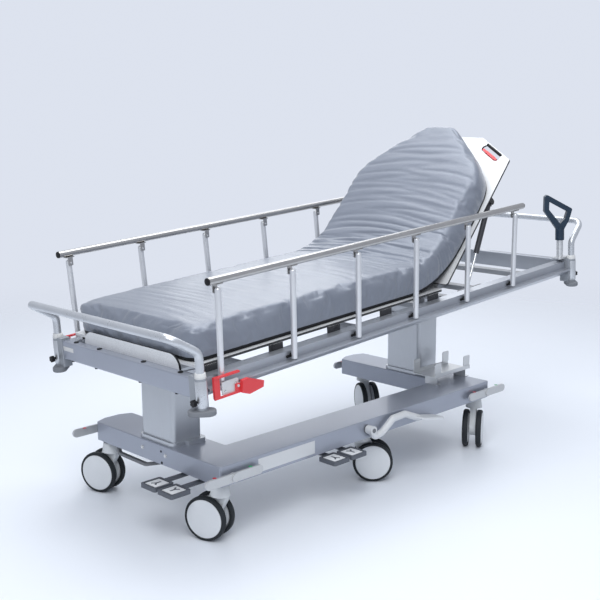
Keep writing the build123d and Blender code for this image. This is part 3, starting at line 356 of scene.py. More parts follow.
@dataclass(frozen=True)
class LyingAxes:
    """The tilted lying frame: s along it from the foot, y across, h square to it, all in millimetres."""

    origin: Vector
    along: Vector
    upward: Vector
    hinge_s: float
    hinge_h: float
    back_angle: float

    @classmethod
    def read(cls, frame: dict, pivot_s: float = 77.66, back_angle: float = 45.6) -> "LyingAxes":
        """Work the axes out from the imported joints.

        Args:
            pivot_s: Place of the foot column's pivot along the frame, mm.
            back_angle: Rest angle of the backrest, degrees.

        Returns:
            The axes.
        """
        joints = {joint["name"]: joint for joint in frame["joints"]}
        upward = Vector(joints["foot_push_bar_slide"]["axis"]).normalized()
        along = Vector((0, 1, 0)).cross(upward)
        origin = Vector(joints["frame_tilt"]["pos_m"]) - along * pivot_s * MM
        hinge = Vector(joints["backrest_raise"]["pos_m"]) - origin
        return cls(origin, along, upward, hinge.dot(along) / MM, hinge.dot(upward) / MM,
                   math.radians(back_angle))

    def point(self, s: float, y: float = 0.0, h: float = 0.0) -> Vector:
        """A point on the lying frame, in metres."""
        return self.origin + (self.along * s + Vector((0, y, 0)) + self.upward * h) * MM

    def matrix(self, s: float = 0.0, y: float = 0.0, h: float = 0.0) -> Matrix:
        """Placing matrix there in millimetres: local x along, y across, z square to the frame."""
        axes = Matrix((self.along, Vector((0, 1, 0)), self.upward)).transposed()
        return Matrix.Translation(self.point(s, y, h)) @ axes.to_4x4() @ Matrix.Scale(MM, 4)

    @property
    def back_along(self) -> Vector:
        """Direction up the backrest."""
        return self.along * math.cos(self.back_angle) + self.upward * math.sin(self.back_angle)

    @property
    def back_upward(self) -> Vector:
        """Direction square to the backrest's upper face."""
        return self.upward * math.cos(self.back_angle) - self.along * math.sin(self.back_angle)

    def back_matrix(self, u: float, y: float, n: float) -> Matrix:
        """Placing matrix on the backrest: local x up it, y across, z out of its upper face."""
        axes = Matrix((self.back_along, Vector((0, 1, 0)), self.back_upward)).transposed()
        place = self.point(self.hinge_s, y, self.hinge_h)
        place += (self.back_along * u + self.back_upward * n) * MM
        return Matrix.Translation(place) @ axes.to_4x4() @ Matrix.Scale(MM, 4)


def base_matrix(x: float, y: float, z: float) -> Matrix:
    """Placing matrix on the level chassis, from metres of place to millimetre units."""
    return Matrix.Translation((x, y, z)) @ Matrix.Scale(MM, 4)


class Form:
    """One small rigid piece made with bmesh operators in millimetres, then placed."""

    def __init__(self) -> None:
        """Start with an empty mesh."""
        self.mesh = bmesh.new()

    def block(self, size: Sequence[float], centre: Sequence[float] = (0, 0, 0), bevel: float = 1.0,
              turn: float = 0.0, segments: int = 2) -> "Form":
        """Add a block with rounded edges.

        Args:
            size: Length on x, y and z.
            centre: Middle of the block.
            bevel: Rounding radius.
            turn: Turn about z in degrees.
            segments: Steps of the rounding.

        Returns:
            The form.
        """
        place = Matrix.Translation(centre) @ Matrix.Rotation(math.radians(turn), 4, "Z")
        made = bmesh.ops.create_cube(self.mesh, size=1.0, matrix=place @ Matrix.Diagonal((*size, 1)))
        self.round_off(made["verts"], bevel, segments)
        return self

    def round_off(self, verts: Iterable[bmesh.types.BMVert], bevel: float, segments: int = 2) -> None:
        """Bevel the edges among some vertices."""
        chosen = set(verts)
        edges = [edge for edge in self.mesh.edges if edge.verts[0] in chosen and edge.verts[1] in chosen
                 and len(edge.link_faces) == 2 and edge.calc_face_angle(0) > SHARP_CORNER]
        if bevel > 0 and edges:
            bmesh.ops.bevel(self.mesh, geom=edges, offset=bevel, segments=segments, profile=0.5,
                            affect="EDGES", material=-1, clamp_overlap=True)

    def drum(self, radius: float, height: float, centre: Sequence[float] = (0, 0, 0), axis: str = "Z",
             bevel: float = 0.5, sides: int = 32, top: float | None = None) -> "Form":
        """Add a drum or cone with rounded rims.

        Args:
            radius: Radius at the low end.
            height: Length along the axis.
            centre: Middle of the drum.
            axis: X, Y or Z.
            bevel: Rounding of the rims.
            sides: Number of sides.
            top: Radius at the high end.

        Returns:
            The form.
        """
        turn = {"X": Matrix.Rotation(math.pi / 2, 4, "Y"), "Y": Matrix.Rotation(-math.pi / 2, 4, "X"),
                "Z": Matrix.Identity(4)}[axis]
        made = bmesh.ops.create_cone(self.mesh, cap_ends=True, segments=sides, radius1=radius,
                                     radius2=radius if top is None else top, depth=height,
                                     matrix=Matrix.Translation(centre) @ turn)
        self.round_off(made["verts"], bevel)
        return self

    def spun(self, profile: Sequence[tuple[float, float]], steps: int = 64,
             closed: bool = True) -> "Form":
        """Add a ring or dome by spinning a profile of (along x, radius) points about x.

        Args:
            profile: Points of the section.
            steps: Steps of the turn.
            closed: True joins the last point to the first.

        Returns:
            The form.
        """
        verts = [self.mesh.verts.new((along, radius, 0)) for along, radius in profile]
        pairs = list(zip(verts, verts[1:])) + ([(verts[-1], verts[0])] if closed else [])
        edges = [self.mesh.edges.new(pair) for pair in pairs]
        bmesh.ops.spin(self.mesh, geom=verts + edges, cent=(0, 0, 0), axis=(1, 0, 0), dvec=(0, 0, 0),
                       angle=2 * math.pi, steps=steps, use_merge=True)
        bmesh.ops.remove_doubles(self.mesh, verts=self.mesh.verts[:], dist=0.001)
        return self

    def moved(self, matrix: Matrix) -> "Form":
        """Transform everything so far."""
        bmesh.ops.transform(self.mesh, matrix=matrix, verts=self.mesh.verts[:])
        return self

    def finish(self, name: str, body: str, finish: Finish, slot: str, place: Matrix | None = None,
               smooth: float = 40.0, replaced: Sequence[str] = ()) -> bpy.types.Object:
        """Turn the form into a finished piece riding on a body.

        Args:
            name: Name of the piece.
            body: CAD body it moves with.
            finish: Its surface.
            slot: The record's slot name; not used.
            place: Placing matrix.
            smooth: Angle in degrees above which an edge stays sharp.
            replaced: CAD nodes it stands for.

        Returns:
            The object.
        """
        if place is not None:
            self.moved(place)
        bmesh.ops.recalc_face_normals(self.mesh, faces=self.mesh.faces[:])
        data = bpy.data.meshes.new(name)
        self.mesh.to_mesh(data)
        self.mesh.free()
        data.shade_smooth()
        data.set_sharp_from_angle(angle=math.radians(smooth))
        piece = bpy.data.objects.new(name, data)
        bpy.context.scene.collection.objects.link(piece)
        data.materials.append(finish.material())
        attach(piece, body)
        if replaced:
            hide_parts(*replaced)
        LOG.info("%s: %d faces", name, len(data.polygons))
        return piece


@dataclass
class DressedFrame:
    """Gives every CAD node its finish."""

    frame: dict
    axes: LyingAxes
    seat_start: float = -72.0
    lip_end: float = -72.5
    unbounded: float = -10.0

    def laminate(self, name: str, *faces: tuple[Vector, Vector, float]) -> Finish:
        """White laminate whose boards are given as facing, bounding direction and bound in metres."""
        return EdgedLaminate(name, (0.78, 0.79, 0.80), 0.28, 0.0, Grain.SMOOTH, 0.02, 0.00001, 0.3,
                             faces=faces)

    def boards(self) -> Finish:
        """Laminate of the seat board and the lip at its foot."""
        along = self.axes.along
        seat = (self.axes.upward, along, self.axes.point(self.seat_start).dot(along))
        lip = (along, -along, -self.axes.point(self.lip_end).dot(along))
        return self.laminate("white_laminate", seat, lip)

    def backrest(self) -> Finish:
        """The same laminate for the raised board."""
        return self.laminate("backrest_laminate", (self.axes.back_upward, self.axes.along, self.unbounded))

    def dress(self) -> None:
        """Assign a material to each CAD node from its record slot."""
        slots = {part["node"]: part["material_slot"] for part in self.frame["record"]["subparts"]}
        boards = {"lying_board": self.boards(), "backrest_board": self.backrest()}
        for name, node in self.frame["nodes"].items():
            finish = boards.get(name) or getattr(PALETTE, slots[name], PALETTE.frame_paint)
            node.data.materials.clear()
            node.data.materials.append(finish.material())
        LOG.info("dressed %d nodes", len(self.frame["nodes"]))


@dataclass
class Mattress:
    """The covered mattress: one closed form that bends up the backrest over the fold."""

    axes: LyingAxes
    start_s: float = -63.0
    bottom_h: float = 55.6
    thickness: float = 104.0
    half_width: float = 321.0
    foot_corner: float = 46.0
    fold_reach: float = 195.0
    back_length: float = 704.0
    back_shoulder: float = 484.0
    head_half_width: float = 68.0
    band: float = 14.0
    crown: float = 7.0
    rim: float = 14.0
    side_swell: float = 4.0
    edge_draw: float = 3.0
    taper_softness: float = 34.0
    crease_middle: float = 0.42
    crease_width: float = 170.0
    cap_move: float = 9.0
    cuts: tuple[int, int, int] = (270, 64, 8)
    cloth_frames: int = 16

    def __post_init__(self) -> None:
        """Work out the lengths of the straight and bent stretches."""
        self.seat_length = self.axes.hinge_s - self.fold_reach - self.start_s
        self.radius = self.fold_reach / math.tan(self.axes.back_angle / 2)
        self.arc_length = self.radius * self.axes.back_angle
        self.length = self.seat_length + self.arc_length + self.back_length - self.fold_reach
        self.shoulder = self.length - (self.back_length - self.back_shoulder)

    def half(self, x: float) -> float:
        """Half width at a distance along the unbent mattress."""
        width = self.half_width
        if x < self.foot_corner:
            rise = self.foot_corner - x
            width -= self.foot_corner - math.sqrt(max(self.foot_corner ** 2 - rise ** 2, 0))
        soft = self.taper_softness
        slope = (self.half_width - self.head_half_width) / (self.length - self.shoulder)
        drop = slope * (x - self.shoulder)
        tapered = math.log1p(math.exp(min(drop / soft, 30.0))) * soft
        return width - min(tapered, self.half_width - self.head_half_width + 16)

    def place(self, x: float, y: float, z: float) -> Vector:
        """Bend a point of the straight mattress into place, in metres."""
        if x <= self.seat_length:
            return self.axes.point(self.start_s + x, y, self.bottom_h + z)
        bend = min((x - self.seat_length) / self.radius, self.axes.back_angle)
        spare = max(x - self.seat_length - self.arc_length, 0.0)
        reach = self.radius - z
        s = self.start_s + self.seat_length + reach * math.sin(bend) + spare * math.cos(bend)
        h = self.bottom_h + self.radius - reach * math.cos(bend) + spare * math.sin(bend)
        return self.axes.point(s, y, h)

    def fold_share(self, x: float) -> float:
        """How much a place belongs to the fold, 0 to 1."""
        middle = self.seat_length + self.arc_length * self.crease_middle
        return math.exp(-((x - middle) / self.crease_width) ** 2)

    def pleats(self, x: float, z: float, side: float) -> float:
        """Outward push of the side wall's pleats at a height, in millimetres."""
        share = self.fold_share(x)
        wander = noise.noise(Vector((x * 0.006, side * 7.0, z * 0.01))) * 26.0
        lean = (z - self.thickness / 2) * (0.10 + 0.25 * noise.noise(Vector((x * 0.004, side * 3.0, 5.0))))
        phase = (x + wander + lean) / (34.0 + 20.0 * (1 - share))
        ridge = 1.0 - abs(math.sin(math.pi * phase)) ** 0.7
        fade = math.sin(math.pi * min(max(z / self.thickness, 0.05), 1.0)) ** 0.5
        patch = 0.55 + 0.9 * noise.noise(Vector((x * 0.009, side * 11.0, 2.0)))
        return (2.6 + 4.6 * share) * (ridge - 0.45) * fade * max(patch, 0.15)

    def wrinkles(self, x: float, y: float) -> float:
        """Lift of the top's cross wrinkles, in millimetres."""
        share = self.fold_share(x)
        across = abs(y) / self.half_width
        bow = 34.0 * (y / self.half_width) ** 2 + 18.0 * noise.noise(Vector((x * 0.003, y * 0.004, 9.0)))
        wave = noise.noise(Vector(((x + bow) * 0.028, y * 0.0022, 1.0)))
        sharp = 1.0 - min(abs(wave) * 3.2, 1.0)
        fine = noise.noise(Vector(((x + bow) * 0.055, y * 0.005, 4.0)))
        on_back = 1.0 if x > self.seat_length + self.arc_length * 0.6 else 0.0
        edge = max(across - 0.72, 0.0) / 0.28
        depth = 1.3 + 7.0 * share + 1.5 * on_back
        side_crumple = 2.2 * share * edge * noise.noise(Vector((x * 0.05, y * 0.02, 13.0)))
        seat_pull = 1.6 * (1 - share) * edge * noise.noise(Vector((x * 0.03, y * 0.014, 17.0)))
        return -depth * sharp * (1 - 0.35 * edge) + 4.0 * share * fine + side_crumple + seat_pull

    def corner_crumple(self, x: float, y: float, z: float) -> float:
        """Inward creases at the foot corners, in millimetres."""
        near_end = math.exp(-(x / 70.0) ** 2) * max(abs(y) / self.half_width - 0.6, 0.0) / 0.4
        crease = noise.noise(Vector((x * 0.045, y * 0.04, z * 0.03)))
        return -10.0 * near_end * abs(crease)

    def blank(self) -> bmesh.types.BMesh:
        """A straight block of the mattress, cut into a fine grid.

        Returns:
            The mesh in millimetres: x along, y across, z up from the underside.
        """
        mesh = bmesh.new()
        centre = Matrix.Translation((self.length / 2, 0, self.thickness / 2))
        size = Matrix.Diagonal((self.length, 2 * self.half_width, self.thickness, 1))
        bmesh.ops.create_cube(mesh, size=1.0, matrix=centre @ size)
        for axis, cuts in enumerate(self.cuts):
            edges = [edge for edge in mesh.edges
                     if abs((edge.verts[0].co - edge.verts[1].co).normalized()[axis]) > 0.9]
            bmesh.ops.subdivide_edges(mesh, edges=edges, cuts=cuts, use_grid_fill=True)
        return mesh

    def shaped(self, co: Vector) -> Vector:
        """Shape one grid point: outline, rounded top edge, crown, pleats and wrinkles."""
        x, y, z = co
        half = self.half(x)
        share = y / self.half_width
        top = z / self.thickness
        low = max(0.0, top - 0.88) / 0.12
        from_edge = (1 - abs(share)) * half
        from_end = min(x, self.length - x)
        sag = self.rim * max(0.0, 1 - min(from_edge, from_end) / self.rim) ** 2 * 0.5
        swell = self.side_swell * math.sin(math.pi * min(max(top, 0.0), 1.0))
        out_y = share * half
        out_x = x
        out_z = z
        if top > 0.999:
            out_z += self.crown * (1 - share ** 4) * (1 - math.exp(-from_end / 60.0)) - sag
            out_z += self.wrinkles(x, out_y) * min(from_edge / 30.0, 1.0) + self.corner_crumple(x, y, z)
        out_z = max(out_z, 0.0)
        if abs(share) > 0.999:
            side = 1.0 if share > 0 else -1.0
            out_y += side * (swell + self.pleats(x, z, side) - low * self.edge_draw)
        if x < 0.001 or x > self.length - 0.001:
            way = -1.0 if x < 1.0 else 1.0
            crease = noise.noise(Vector((out_y * 0.02, z * 0.02, way))) * 3.0
            bulge = math.sin(math.pi * min(max(top, 0.0), 1.0))
            out_x += way * (swell * 0.8 + crease * bulge - low * self.edge_draw)
        return Vector((out_x, out_y, out_z))

    def build(self) -> bpy.types.Object:
        """Build, swell and crease the mattress, and lay its materials on.

        Returns:
            The finished piece.
        """
        mesh = self.blank()
        step = self.thickness / (self.cuts[2] + 1)
        for vert in mesh.verts:
            shaped = self.shaped(vert.co)
            level = round(vert.co.z / step)
            if level == 1:
                shaped.z = self.band
            vert.co = self.place(*shaped)
        bmesh.ops.recalc_face_normals(mesh, faces=mesh.faces[:])
        data = bpy.data.meshes.new("mattress")
        mesh.to_mesh(data)
        mesh.free()
        piece = bpy.data.objects.new("mattress", data)
        bpy.context.scene.collection.objects.link(piece)
        cover = CoverCloth("mattress_cover", (0.215, 0.238, 0.288), 0.34, 0.15, Grain.WOVEN, 0.05, 0.00003,
                           0.18, 0.15)
        data.materials.append(cover.material())
        data.materials.append(PALETTE.band_black.material())
        self.mark_band(piece)
        self.swell(piece)
        data = piece.data
        data.shade_smooth()
        smooth = piece.modifiers.new("smooth", "SUBSURF")
        smooth.levels = smooth.render_levels = 1
        bend_start = self.place(self.seat_length, 0, 0)
        bend_end = self.place(self.seat_length + self.arc_length, 0, 0)
        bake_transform(piece)
        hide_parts("mattress_seat", "mattress_back")
        LOG.info("mattress: %d faces", len(data.polygons))
        return piece

    def depth_of(self, co: Vector) -> float:
        """Height of a placed point above the mattress's underside, in millimetres."""
        local = (co - self.axes.origin) / MM
        s = local.dot(self.axes.along) - self.start_s
        h = local.dot(self.axes.upward) - self.bottom_h
        if s <= self.seat_length:
            return h
        centre = Vector((self.seat_length, self.radius))
        bend = math.atan2(s - centre.x, centre.y - h)
        if bend <= self.axes.back_angle:
            return self.radius - math.hypot(s - centre.x, h - centre.y)
        away = Vector((s - centre.x, h - centre.y))
        down = Vector((math.sin(self.axes.back_angle), -math.cos(self.axes.back_angle)))
        return self.radius - away.dot(down)

    def mark_band(self, piece: bpy.types.Object) -> None:
        """Give the underside and the lowest band of the walls the black material."""
        for face in piece.data.polygons:
            if self.depth_of(face.center) < self.band * 0.9:
                face.material_index = 1

    def swell(self, piece: bpy.types.Object) -> None:
        """Let the cover settle as loose cloth over the pressed-up core, then cap how far it moved."""
        scene = bpy.context.scene
        rest = [vert.co.copy() for vert in piece.data.vertices]
        pinned = piece.vertex_groups.new(name="pinned")
        for vert in piece.data.vertices:
            if self.depth_of(vert.co) < self.band + 1:
                pinned.add([vert.index], 1.0, "REPLACE")
        cloth = piece.modifiers.new("cloth", "CLOTH")
        settings = cloth.settings
        settings.quality = 5
        settings.mass = 0.3
        settings.tension_stiffness = settings.compression_stiffness = 12
        settings.shear_stiffness = 5
        settings.bending_stiffness = 0.08
        settings.use_pressure = True
        settings.uniform_pressure_force = 2.2
        settings.shrink_min = -0.035
        settings.vertex_group_mass = "pinned"
        settings.pin_stiffness = 5
        settings.effector_weights.gravity = 0
        cloth.collision_settings.use_collision = False
        cloth.point_cache.frame_start = 1
        cloth.point_cache.frame_end = self.cloth_frames
        for frame in range(1, self.cloth_frames + 1):
            scene.frame_set(frame)
        settled = piece.evaluated_get(bpy.context.evaluated_depsgraph_get()).data
        moved = [vert.co.copy() for vert in settled.vertices]
        piece.modifiers.remove(cloth)
        scene.frame_set(1)
        limit = self.cap_move * MM
        for vert, old, new in zip(piece.data.vertices, rest, moved):
            step = new - old
            if step.length > limit:
                step *= limit / step.length
            vert.co = old + step
        piece.vertex_groups.remove(pinned)
        LOG.info("mattress cover settled")


@dataclass
class CastorDress:
    """Tyres and discs for the twin wheels of each castor."""

    frame: dict
    radius: float = 75.0
    disc: float = 65.5
    inner: float = 16.0
    outer: float = 38.0
    axle: float = 6.0
    names: tuple[str, ...] = ("far_foot", "near_foot", "near_mid", "near_head", "far_head")

    def placing(self, name: str) -> Matrix:
        """Matrix with local x along the axle and its origin at the wheel pair's middle."""
        joint = next(item for item in self.frame["joints"] if item["name"] == f"{name}_wheel_spin")
        axle = Vector(joint["axis"]).normalized()
        turn = axle.to_track_quat("X", "Z").to_matrix().to_4x4()
        return Matrix.Translation(joint["pos_m"]) @ turn @ Matrix.Scale(MM, 4)

    def tyre_section(self, side: float) -> list[tuple[float, float]]:
        """Section of one tyre ring: (along the axle, radius)."""
        low, high, top = self.inner, self.outer, self.radius
        points = [(low, self.disc - 1), (low, top - 5), (low + 1.5, top - 2), (low + 5, top - 0.4),
                  ((low + high) / 2, top), (high - 5, top - 0.4), (high - 1.5, top - 2.2), (high, top - 5),
                  (high, self.disc + 0.6), (high - 2.5, self.disc - 1)]
        return [(side * along, radius) for along, radius in points]

    def disc_section(self, side: float) -> list[tuple[float, float]]:
        """Section of one domed disc with its rim groove and centre cap."""
        edge = self.disc
        points = [(self.inner + 0.5, 0), (self.inner + 0.5, edge - 6), (self.outer - 6, edge - 1.5),
                  (self.outer - 1.4, edge - 0.8), (self.outer - 0.4, edge - 1.8),
                  (self.outer + 0.3, edge - 6), (self.outer + 0.9, edge - 26),
                  (self.outer + 1.0, 20), (self.outer + 1.0, 0)]
        return [(side * along, radius) for along, radius in points]

    def build(self) -> None:
        """Make every castor's tyres and discs."""
        for name in self.names:
            place = self.placing(name)
            tyres = Form()
            discs = Form()
            for side in (-1.0, 1.0):
                tyres.spun(self.tyre_section(side), 72)
                discs.spun(self.disc_section(side), 72, closed=False)
            discs.drum(self.axle, 2 * self.inner + 2, axis="X")
            tyres.finish(f"{name}_tyres", f"{name}_wheels", PALETTE.tyre_rubber, "wheel_body", place, 30)
            discs.finish(f"{name}_discs", f"{name}_wheels", PALETTE.wheel_body, "wheel_body", place, 30,
                         (f"{name}_castor_wheels",))


@dataclass
class RailDress:
    """End caps and pivot bushes of the two side rails."""

    axes: LyingAxes
    post_places: tuple[float, ...] = tuple(-23.8 + 310.96 * number for number in range(6))
    rail_y: float = 408.6
    rail_h: float = 322.0
    rail_radius: float = 12.0
    rail_ends: tuple[float, float] = (-57.8, 1575.5)
    pivot_h: float = 10.0
    post_y: float = 393.5
    post_radius: float = 10.0
    profile_face: float = 378.0

    def build(self) -> None:
        """Make both sides' fittings."""
        for side, label in ((-1.0, "near"), (1.0, "far")):
            self.caps(side, label)
            self.pivots(side, label)

    def caps(self, side: float, label: str) -> None:
        """Dark plugs in the rail's two ends."""
        form = Form()
        for end, way in zip(self.rail_ends, (-1.0, 1.0)):
            middle = (end + way * 4.6, side * self.rail_y, self.rail_h)
            form.drum(self.rail_radius - 0.6, 5.0, middle, "X", 1.4)
        form.finish(f"{label}_rail_caps", f"{label}_rail", PALETTE.knob_plastic, "knob_plastic",
                    self.axes.matrix())

    def pivots(self, side: float, label: str) -> None:
        """Black bushes behind each post's foot, on the profile."""
        form = Form()
        middle = (self.profile_face + self.post_y - self.post_radius) / 2
        for place in self.post_places:
            form.drum(8.5, 4.4, (place, side * middle, self.pivot_h), "Y", 0.6, 28)
            form.block((16, 4.0, 9), (place - 15, side * (self.profile_face + 2.2), self.pivot_h - 3), 1.5)
        form.finish(f"{label}_post_bushes", "lying_frame", PALETTE.knob_plastic, "knob_plastic",
                    self.axes.matrix())


@dataclass
class FootEndDress:
    """Plugs, blank label, tube collars and socket sleeves at the corners."""

    axes: LyingAxes
    beam_s: float = -98.0
    face_s: float = -115.0
    top_h: float = 32.0
    bottom_h: float = -34.0
    plug_y: tuple[float, ...] = (-290.0, -100.0, 149.0, 290.0)
    label_y: float = 318.0
    socket_s: tuple[float, float] = (-105.0, 1975.0)
    socket_y: float = 395.0
    block_top: float = 39.0
    sleeve_middle: float = -14.0
    sleeve_length: float = 84.0

    def build(self) -> None:
        """Make the small pieces of both ends."""
        level = self.axes.matrix()
        plugs = Form()
        for y in self.plug_y:
            plugs.drum(9.0, 3.0, (self.beam_s, y, self.top_h + 1.2), "Z", 1.2, 24)
            plugs.drum(6.0, 3.0, (self.face_s + 6, y + 12, self.bottom_h - 1.0), "Z", 0.8, 20)
        plugs.finish("beam_plugs", "lying_frame", PALETTE.knob_plastic, "knob_plastic", level)
        label = Form().block((1.0, 62, 15), (self.face_s - 0.5, self.label_y, 6), 0.3)
        label.finish("blank_end_label", "lying_frame", PALETTE.label_pale, "beam_metal", level)
        collars = Form()
        sleeves = Form()
        for s in self.socket_s:
            for side in (-1.0, 1.0):
                y = side * self.socket_y
                collars.drum(19.0, 16, (s, y, self.block_top + 4.5), "Z", 1.0, 40, 16.4)
                shifted = (s + math.copysign(0.6, s), y + side * 0.8, self.sleeve_middle)
                sleeves.drum(18.9, self.sleeve_length, shifted, "Z", 1.0, 40)
        collars.finish("socket_collars", "lying_frame", PALETTE.label_pale, "tube_metal", level)
        sleeves.finish("socket_sleeves", "lying_frame", PALETTE.tube_metal, "tube_metal", level)


@dataclass
class ChassisDress:
    """Bolts, bare plate, pedal pads and brake dots on the chassis and its pedals."""

    base_half: float = 350.0
    foot_x: float = -0.9112
    bolts_yz: tuple[tuple[float, float], ...] = ((64.0, 234.0), (-65.0, 233.0))
    plugs_yzr: tuple[tuple[float, float, float], ...] = ((-41.0, 243.0, 4.0), (-44.0, 203.5, 5.0))
    pedals: tuple[str, ...] = ("foot_pedal_up", "foot_pedal_down", "side_pedal_up", "side_pedal_down")
    pad_reach: float = 0.040
    pad_z: float = 0.183
    dot_inset: tuple[float, float] = (45.0, 17.0)

    def build(self) -> None:
        """Make the chassis' small pieces."""
        face = base_matrix(self.foot_x, 0, 0)
        self.foot_face(face)
        plate = Form().block((262, 0.8, 46), (291, -self.base_half - 0.3, 229), 0.3, segments=1)
        plate.finish("bare_side_plate", "chassis", PALETTE.latch_plate, "frame_paint", face)
        self.pedal_pads()
        self.brake_dots()

    def foot_face(self, face: Matrix) -> None:
        """Bolt heads and plugged holes on the foot face."""
        bright = Form()
        for y, z in self.bolts_yz:
            bright.drum(6.0, 4.0, (-1.6, y, z), "X", 1.2, 6)
            bright.drum(7.5, 1.2, (-0.5, y, z), "X", 0.2, 24)
        bright.finish("foot_face_bolts", "chassis", PALETTE.bright_screw, "rod_chrome", face)
        dark = Form()
        for y, z, radius in self.plugs_yzr:
            dark.drum(radius, 1.2, (-0.4, y, z), "X", 0.2, 20)
        dark.finish("foot_face_plugs", "chassis", PALETTE.knob_plastic, "knob_plastic", face)

    def pedal_pads(self) -> None:
        """Pale marked pads with a generic arrow on each pedal."""
        for name in self.pedals:
            low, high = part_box(name)
            centre = (low + high) / 2
            centre.z = self.pad_z
            if name.startswith("foot"):
                centre.x = low.x + self.pad_reach
                turn = Matrix.Identity(4)
            else:
                centre.y = low.y + self.pad_reach
                turn = Matrix.Rotation(math.pi / 2, 4, "Z")
            place = Matrix.Translation(centre) @ turn @ Matrix.Scale(MM, 4)
            plate = Form().block((56, 54, 2.0), (0, 0, -1.6), 0.6)
            plate.finish(f"{name}_plate", name, PALETTE.pedal_mark, "pedal_plastic", place)
            arrow = self.arrow(1.0 if name.endswith("up") else -1.0)
            arrow.finish(f"{name}_arrow", name, PALETTE.pedal_plastic, "pedal_plastic", place)

    def arrow(self, way: float) -> Form:
        """A generic arrow of three strokes, along x where way is 1 and back where it is -1."""
        form = Form().block((22, 7, 0.8), (4 * way, 0, -0.3), 0.2, segments=1)
        for side in (-1.0, 1.0):
            form.block((18, 6, 0.8), (-9 * way, side * 5.2, -0.3), 0.2, -side * way * 42, 1)
        return form

    def brake_dots(self) -> None:
        """Red and green dots on the brake bars."""
        inset_x, inset_y = self.dot_inset
        for body in ("foot_brake", "head_brake"):
            low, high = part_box(f"{body}_bars")
            length, width, height = (high - low) / MM
            for shade, x in ((PALETTE.sign_red, inset_x), (PALETTE.sign_green, length - inset_x)):
                form = Form()
                for y in (inset_y, width - inset_y):
                    form.drum(7.0, 0.8, (x, y, height - 0.2), "Z", 0.2, 24)
                form.finish(f"{body}_{shade.name}", body, shade, "latch_red", base_matrix(*low))


@dataclass
class BackrestDress:
    """Soft grip in the slot on the backrest's near shoulder."""

    axes: LyingAxes
    shoulder_start: tuple[float, float] = (629.0, 338.0)
    shoulder_end: tuple[float, float] = (737.0, 156.0)
    slot_inset: tuple[float, float] = (24.0, 14.0)
    grip_reach: float = 19.0

    def build(self) -> None:
        """Make the grip on the slot's outer edge."""
        (start_u, start_y), (end_u, end_y) = self.shoulder_start, self.shoulder_end
        shoulder = math.atan2(start_y - end_y, end_u - start_u)
        u = (start_u + end_u) / 2 - self.slot_inset[0] + math.sin(shoulder) * self.grip_reach
        y = -(start_y + end_y) / 2 + self.slot_inset[1] - math.cos(shoulder) * self.grip_reach
        place = self.axes.back_matrix(u, y, 0) @ Matrix.Rotation(shoulder, 4, "Z")
        grip = Form().block((112, 11, 17), (0, 0, 0), 4.5, segments=3)
        grip.finish("backrest_soft_grip", "backrest", PALETTE.knob_plastic, "knob_plastic", place)


@dataclass
class LatchDress:
    """Screws on the fold latches."""

    axes: LyingAxes
    screws_sh: tuple[tuple[float, float], ...] = ((16.0, -8.0), (-26.0, -24.0))
    face_y: float = 411.2

    def build(self) -> None:
        """Make the screws of both latches."""
        for side, label in ((-1.0, "near"), (1.0, "far")):
            form = Form()
            for s, h in self.screws_sh:
                form.drum(4.2, 2.4, (s, side * self.face_y, h), "Y", 0.8, 20)
            form.finish(f"{label}_latch_screws", "lying_frame", PALETTE.bright_screw, "rod_chrome",
                        self.axes.matrix())


@dataclass(frozen=True)
class SoftBox:
    """A square lamp: place and aim in metres, edge length and watts."""

    name: str
    place: tuple[float, float, float]
    aim: tuple[float, float, float]
    size: float
    power: float

    def hang(self) -> None:
        """Add the lamp to the scene."""
        data = bpy.data.lights.new(self.name, "AREA")
        data.size = self.size
        data.energy = self.power
        data.color = (0.96, 0.98, 1.0)
        lamp = bpy.data.objects.new(self.name, data)
        lamp.location = self.place
        lamp.rotation_euler = (Vector(self.aim) - Vector(self.place)).to_track_quat("-Z", "Y").to_euler()
        bpy.context.scene.collection.objects.link(lamp)


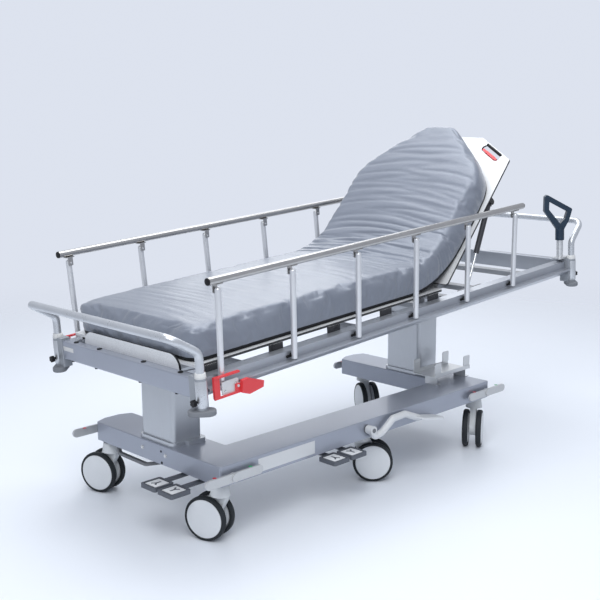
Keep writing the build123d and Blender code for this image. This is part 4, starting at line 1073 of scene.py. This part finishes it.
@dataclass
class Studio:
    """Pale floor, soft light and the camera."""

    place: tuple[float, float, float] = (-2.8766, -2.7104, 1.3789)
    yaw: float = 45.479
    pitch: float = 10.728
    roll: float = 0.413
    focal_pixels: float = 1023.2
    frame_pixels: float = 600.0
    sensor: float = 36.0
    lamps: tuple[SoftBox, ...] = (
        SoftBox("key", (-2.6, -2.2, 3.6), (0.1, 0.0, 0.5), 2.6, 110.0),
        SoftBox("top", (0.4, 0.4, 4.2), (0.0, 0.0, 0.0), 3.4, 118.0),
        SoftBox("rear", (2.6, 2.6, 2.6), (0.0, 0.0, 0.7), 2.6, 36.0),
    )
    floor_half: float = 14.0
    floor_colour: tuple[float, float, float] = (0.80, 0.835, 0.89)
    air_colour: tuple[float, float, float] = (0.84, 0.89, 1.0)
    fill_level: float = 0.46
    seen_level: float = 0.86
    gloss_share: float = 0.45
    fade_start: float = 1.3
    fade_end: float = 4.8

    def build(self) -> None:
        """Set the floor, lamps, world and camera up."""
        self.floor()
        self.world()
        for lamp in self.lamps:
            lamp.hang()
        self.camera()
        bpy.context.scene.view_settings.view_transform = "Standard"

    def floor(self) -> None:
        """A plain pale floor that keeps the shadow."""
        mesh = bmesh.new()
        bmesh.ops.create_grid(mesh, x_segments=1, y_segments=1, size=self.floor_half)
        data = bpy.data.meshes.new("studio_floor")
        mesh.to_mesh(data)
        mesh.free()
        floor = bpy.data.objects.new("studio_floor", data)
        bpy.context.scene.collection.objects.link(floor)
        nodes = Nodes(bpy.data.materials.new("floor_pale"))
        nodes.shader.inputs["Base Color"].default_value = (*self.floor_colour, 1)
        nodes.shader.inputs["Roughness"].default_value = 0.5
        self.fade(nodes)
        data.materials.append(nodes.owner)

    def fade(self, nodes: Nodes) -> None:
        """Let the floor melt into the surroundings away from the trolley."""
        distance = nodes.add("ShaderNodeVectorMath", operation="LENGTH")
        nodes.link(nodes.place, distance.inputs[0])
        share = nodes.add("ShaderNodeMapRange", interpolation_type="SMOOTHSTEP")
        share.inputs["From Min"].default_value = self.fade_start
        share.inputs["From Max"].default_value = self.fade_end
        nodes.link(distance.outputs["Value"], share.inputs["Value"])
        mixed = nodes.add("ShaderNodeMixShader")
        nodes.link(share.outputs["Result"], mixed.inputs[0])
        nodes.link(nodes.shader.outputs["BSDF"], mixed.inputs[1])
        nodes.link(nodes.add("ShaderNodeBsdfTransparent").outputs["BSDF"], mixed.inputs[2])
        nodes.link(mixed.outputs["Shader"], nodes.tree.nodes["Material Output"].inputs["Surface"])

    def world(self) -> None:
        """Even pale surroundings: one level for light, brighter ones for the camera and for gloss."""
        world = bpy.data.worlds.new("studio_world")
        bpy.context.scene.world = world
        nodes = Nodes(world, "Background")
        path = nodes.add("ShaderNodeLightPath").outputs
        gloss = nodes.math("MULTIPLY", path["Is Glossy Ray"], self.gloss_share)
        seen = nodes.math("MAXIMUM", path["Is Camera Ray"], gloss)
        level = nodes.math("MULTIPLY_ADD", seen, self.seen_level - self.fill_level, self.fill_level)
        nodes.link(level, nodes.shader.inputs["Strength"])
        nodes.shader.inputs["Color"].default_value = (*self.air_colour, 1)

    def camera(self) -> None:
        """The camera at the photograph's place and angle."""
        data = bpy.data.cameras.new("camera")
        data.sensor_width = self.sensor
        data.lens = self.focal_pixels / self.frame_pixels * self.sensor
        camera = bpy.data.objects.new("camera", data)
        yaw, pitch, roll = (math.radians(angle) for angle in (self.yaw, self.pitch, self.roll))
        heading = Vector((math.cos(yaw), math.sin(yaw), 0))
        forward = heading * math.cos(pitch) - Vector((0, 0, math.sin(pitch)))
        level = Vector((math.sin(yaw), -math.cos(yaw), 0))
        down = forward.cross(level)
        right = level * math.cos(roll) + down * math.sin(roll)
        down = down * math.cos(roll) - level * math.sin(roll)
        turn = Matrix((right, -down, -forward)).transposed()
        camera.matrix_world = Matrix.Translation(self.place) @ turn.to_4x4()
        bpy.context.scene.collection.objects.link(camera)
        bpy.context.scene.camera = camera


def main() -> None:
    """Build the studio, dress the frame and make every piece."""
    logging.basicConfig(level=logging.INFO, format="%(name)s %(message)s")
    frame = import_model()
    axes = LyingAxes.read(frame)
    Studio().build()
    DressedFrame(frame, axes).dress()
    Mattress(axes).build()
    CastorDress(frame).build()
    RailDress(axes).build()
    FootEndDress(axes).build()
    ChassisDress().build()
    BackrestDress(axes).build()
    LatchDress(axes).build()
    LOG.info("sizes written")


if __name__ == "__main__":
    main()
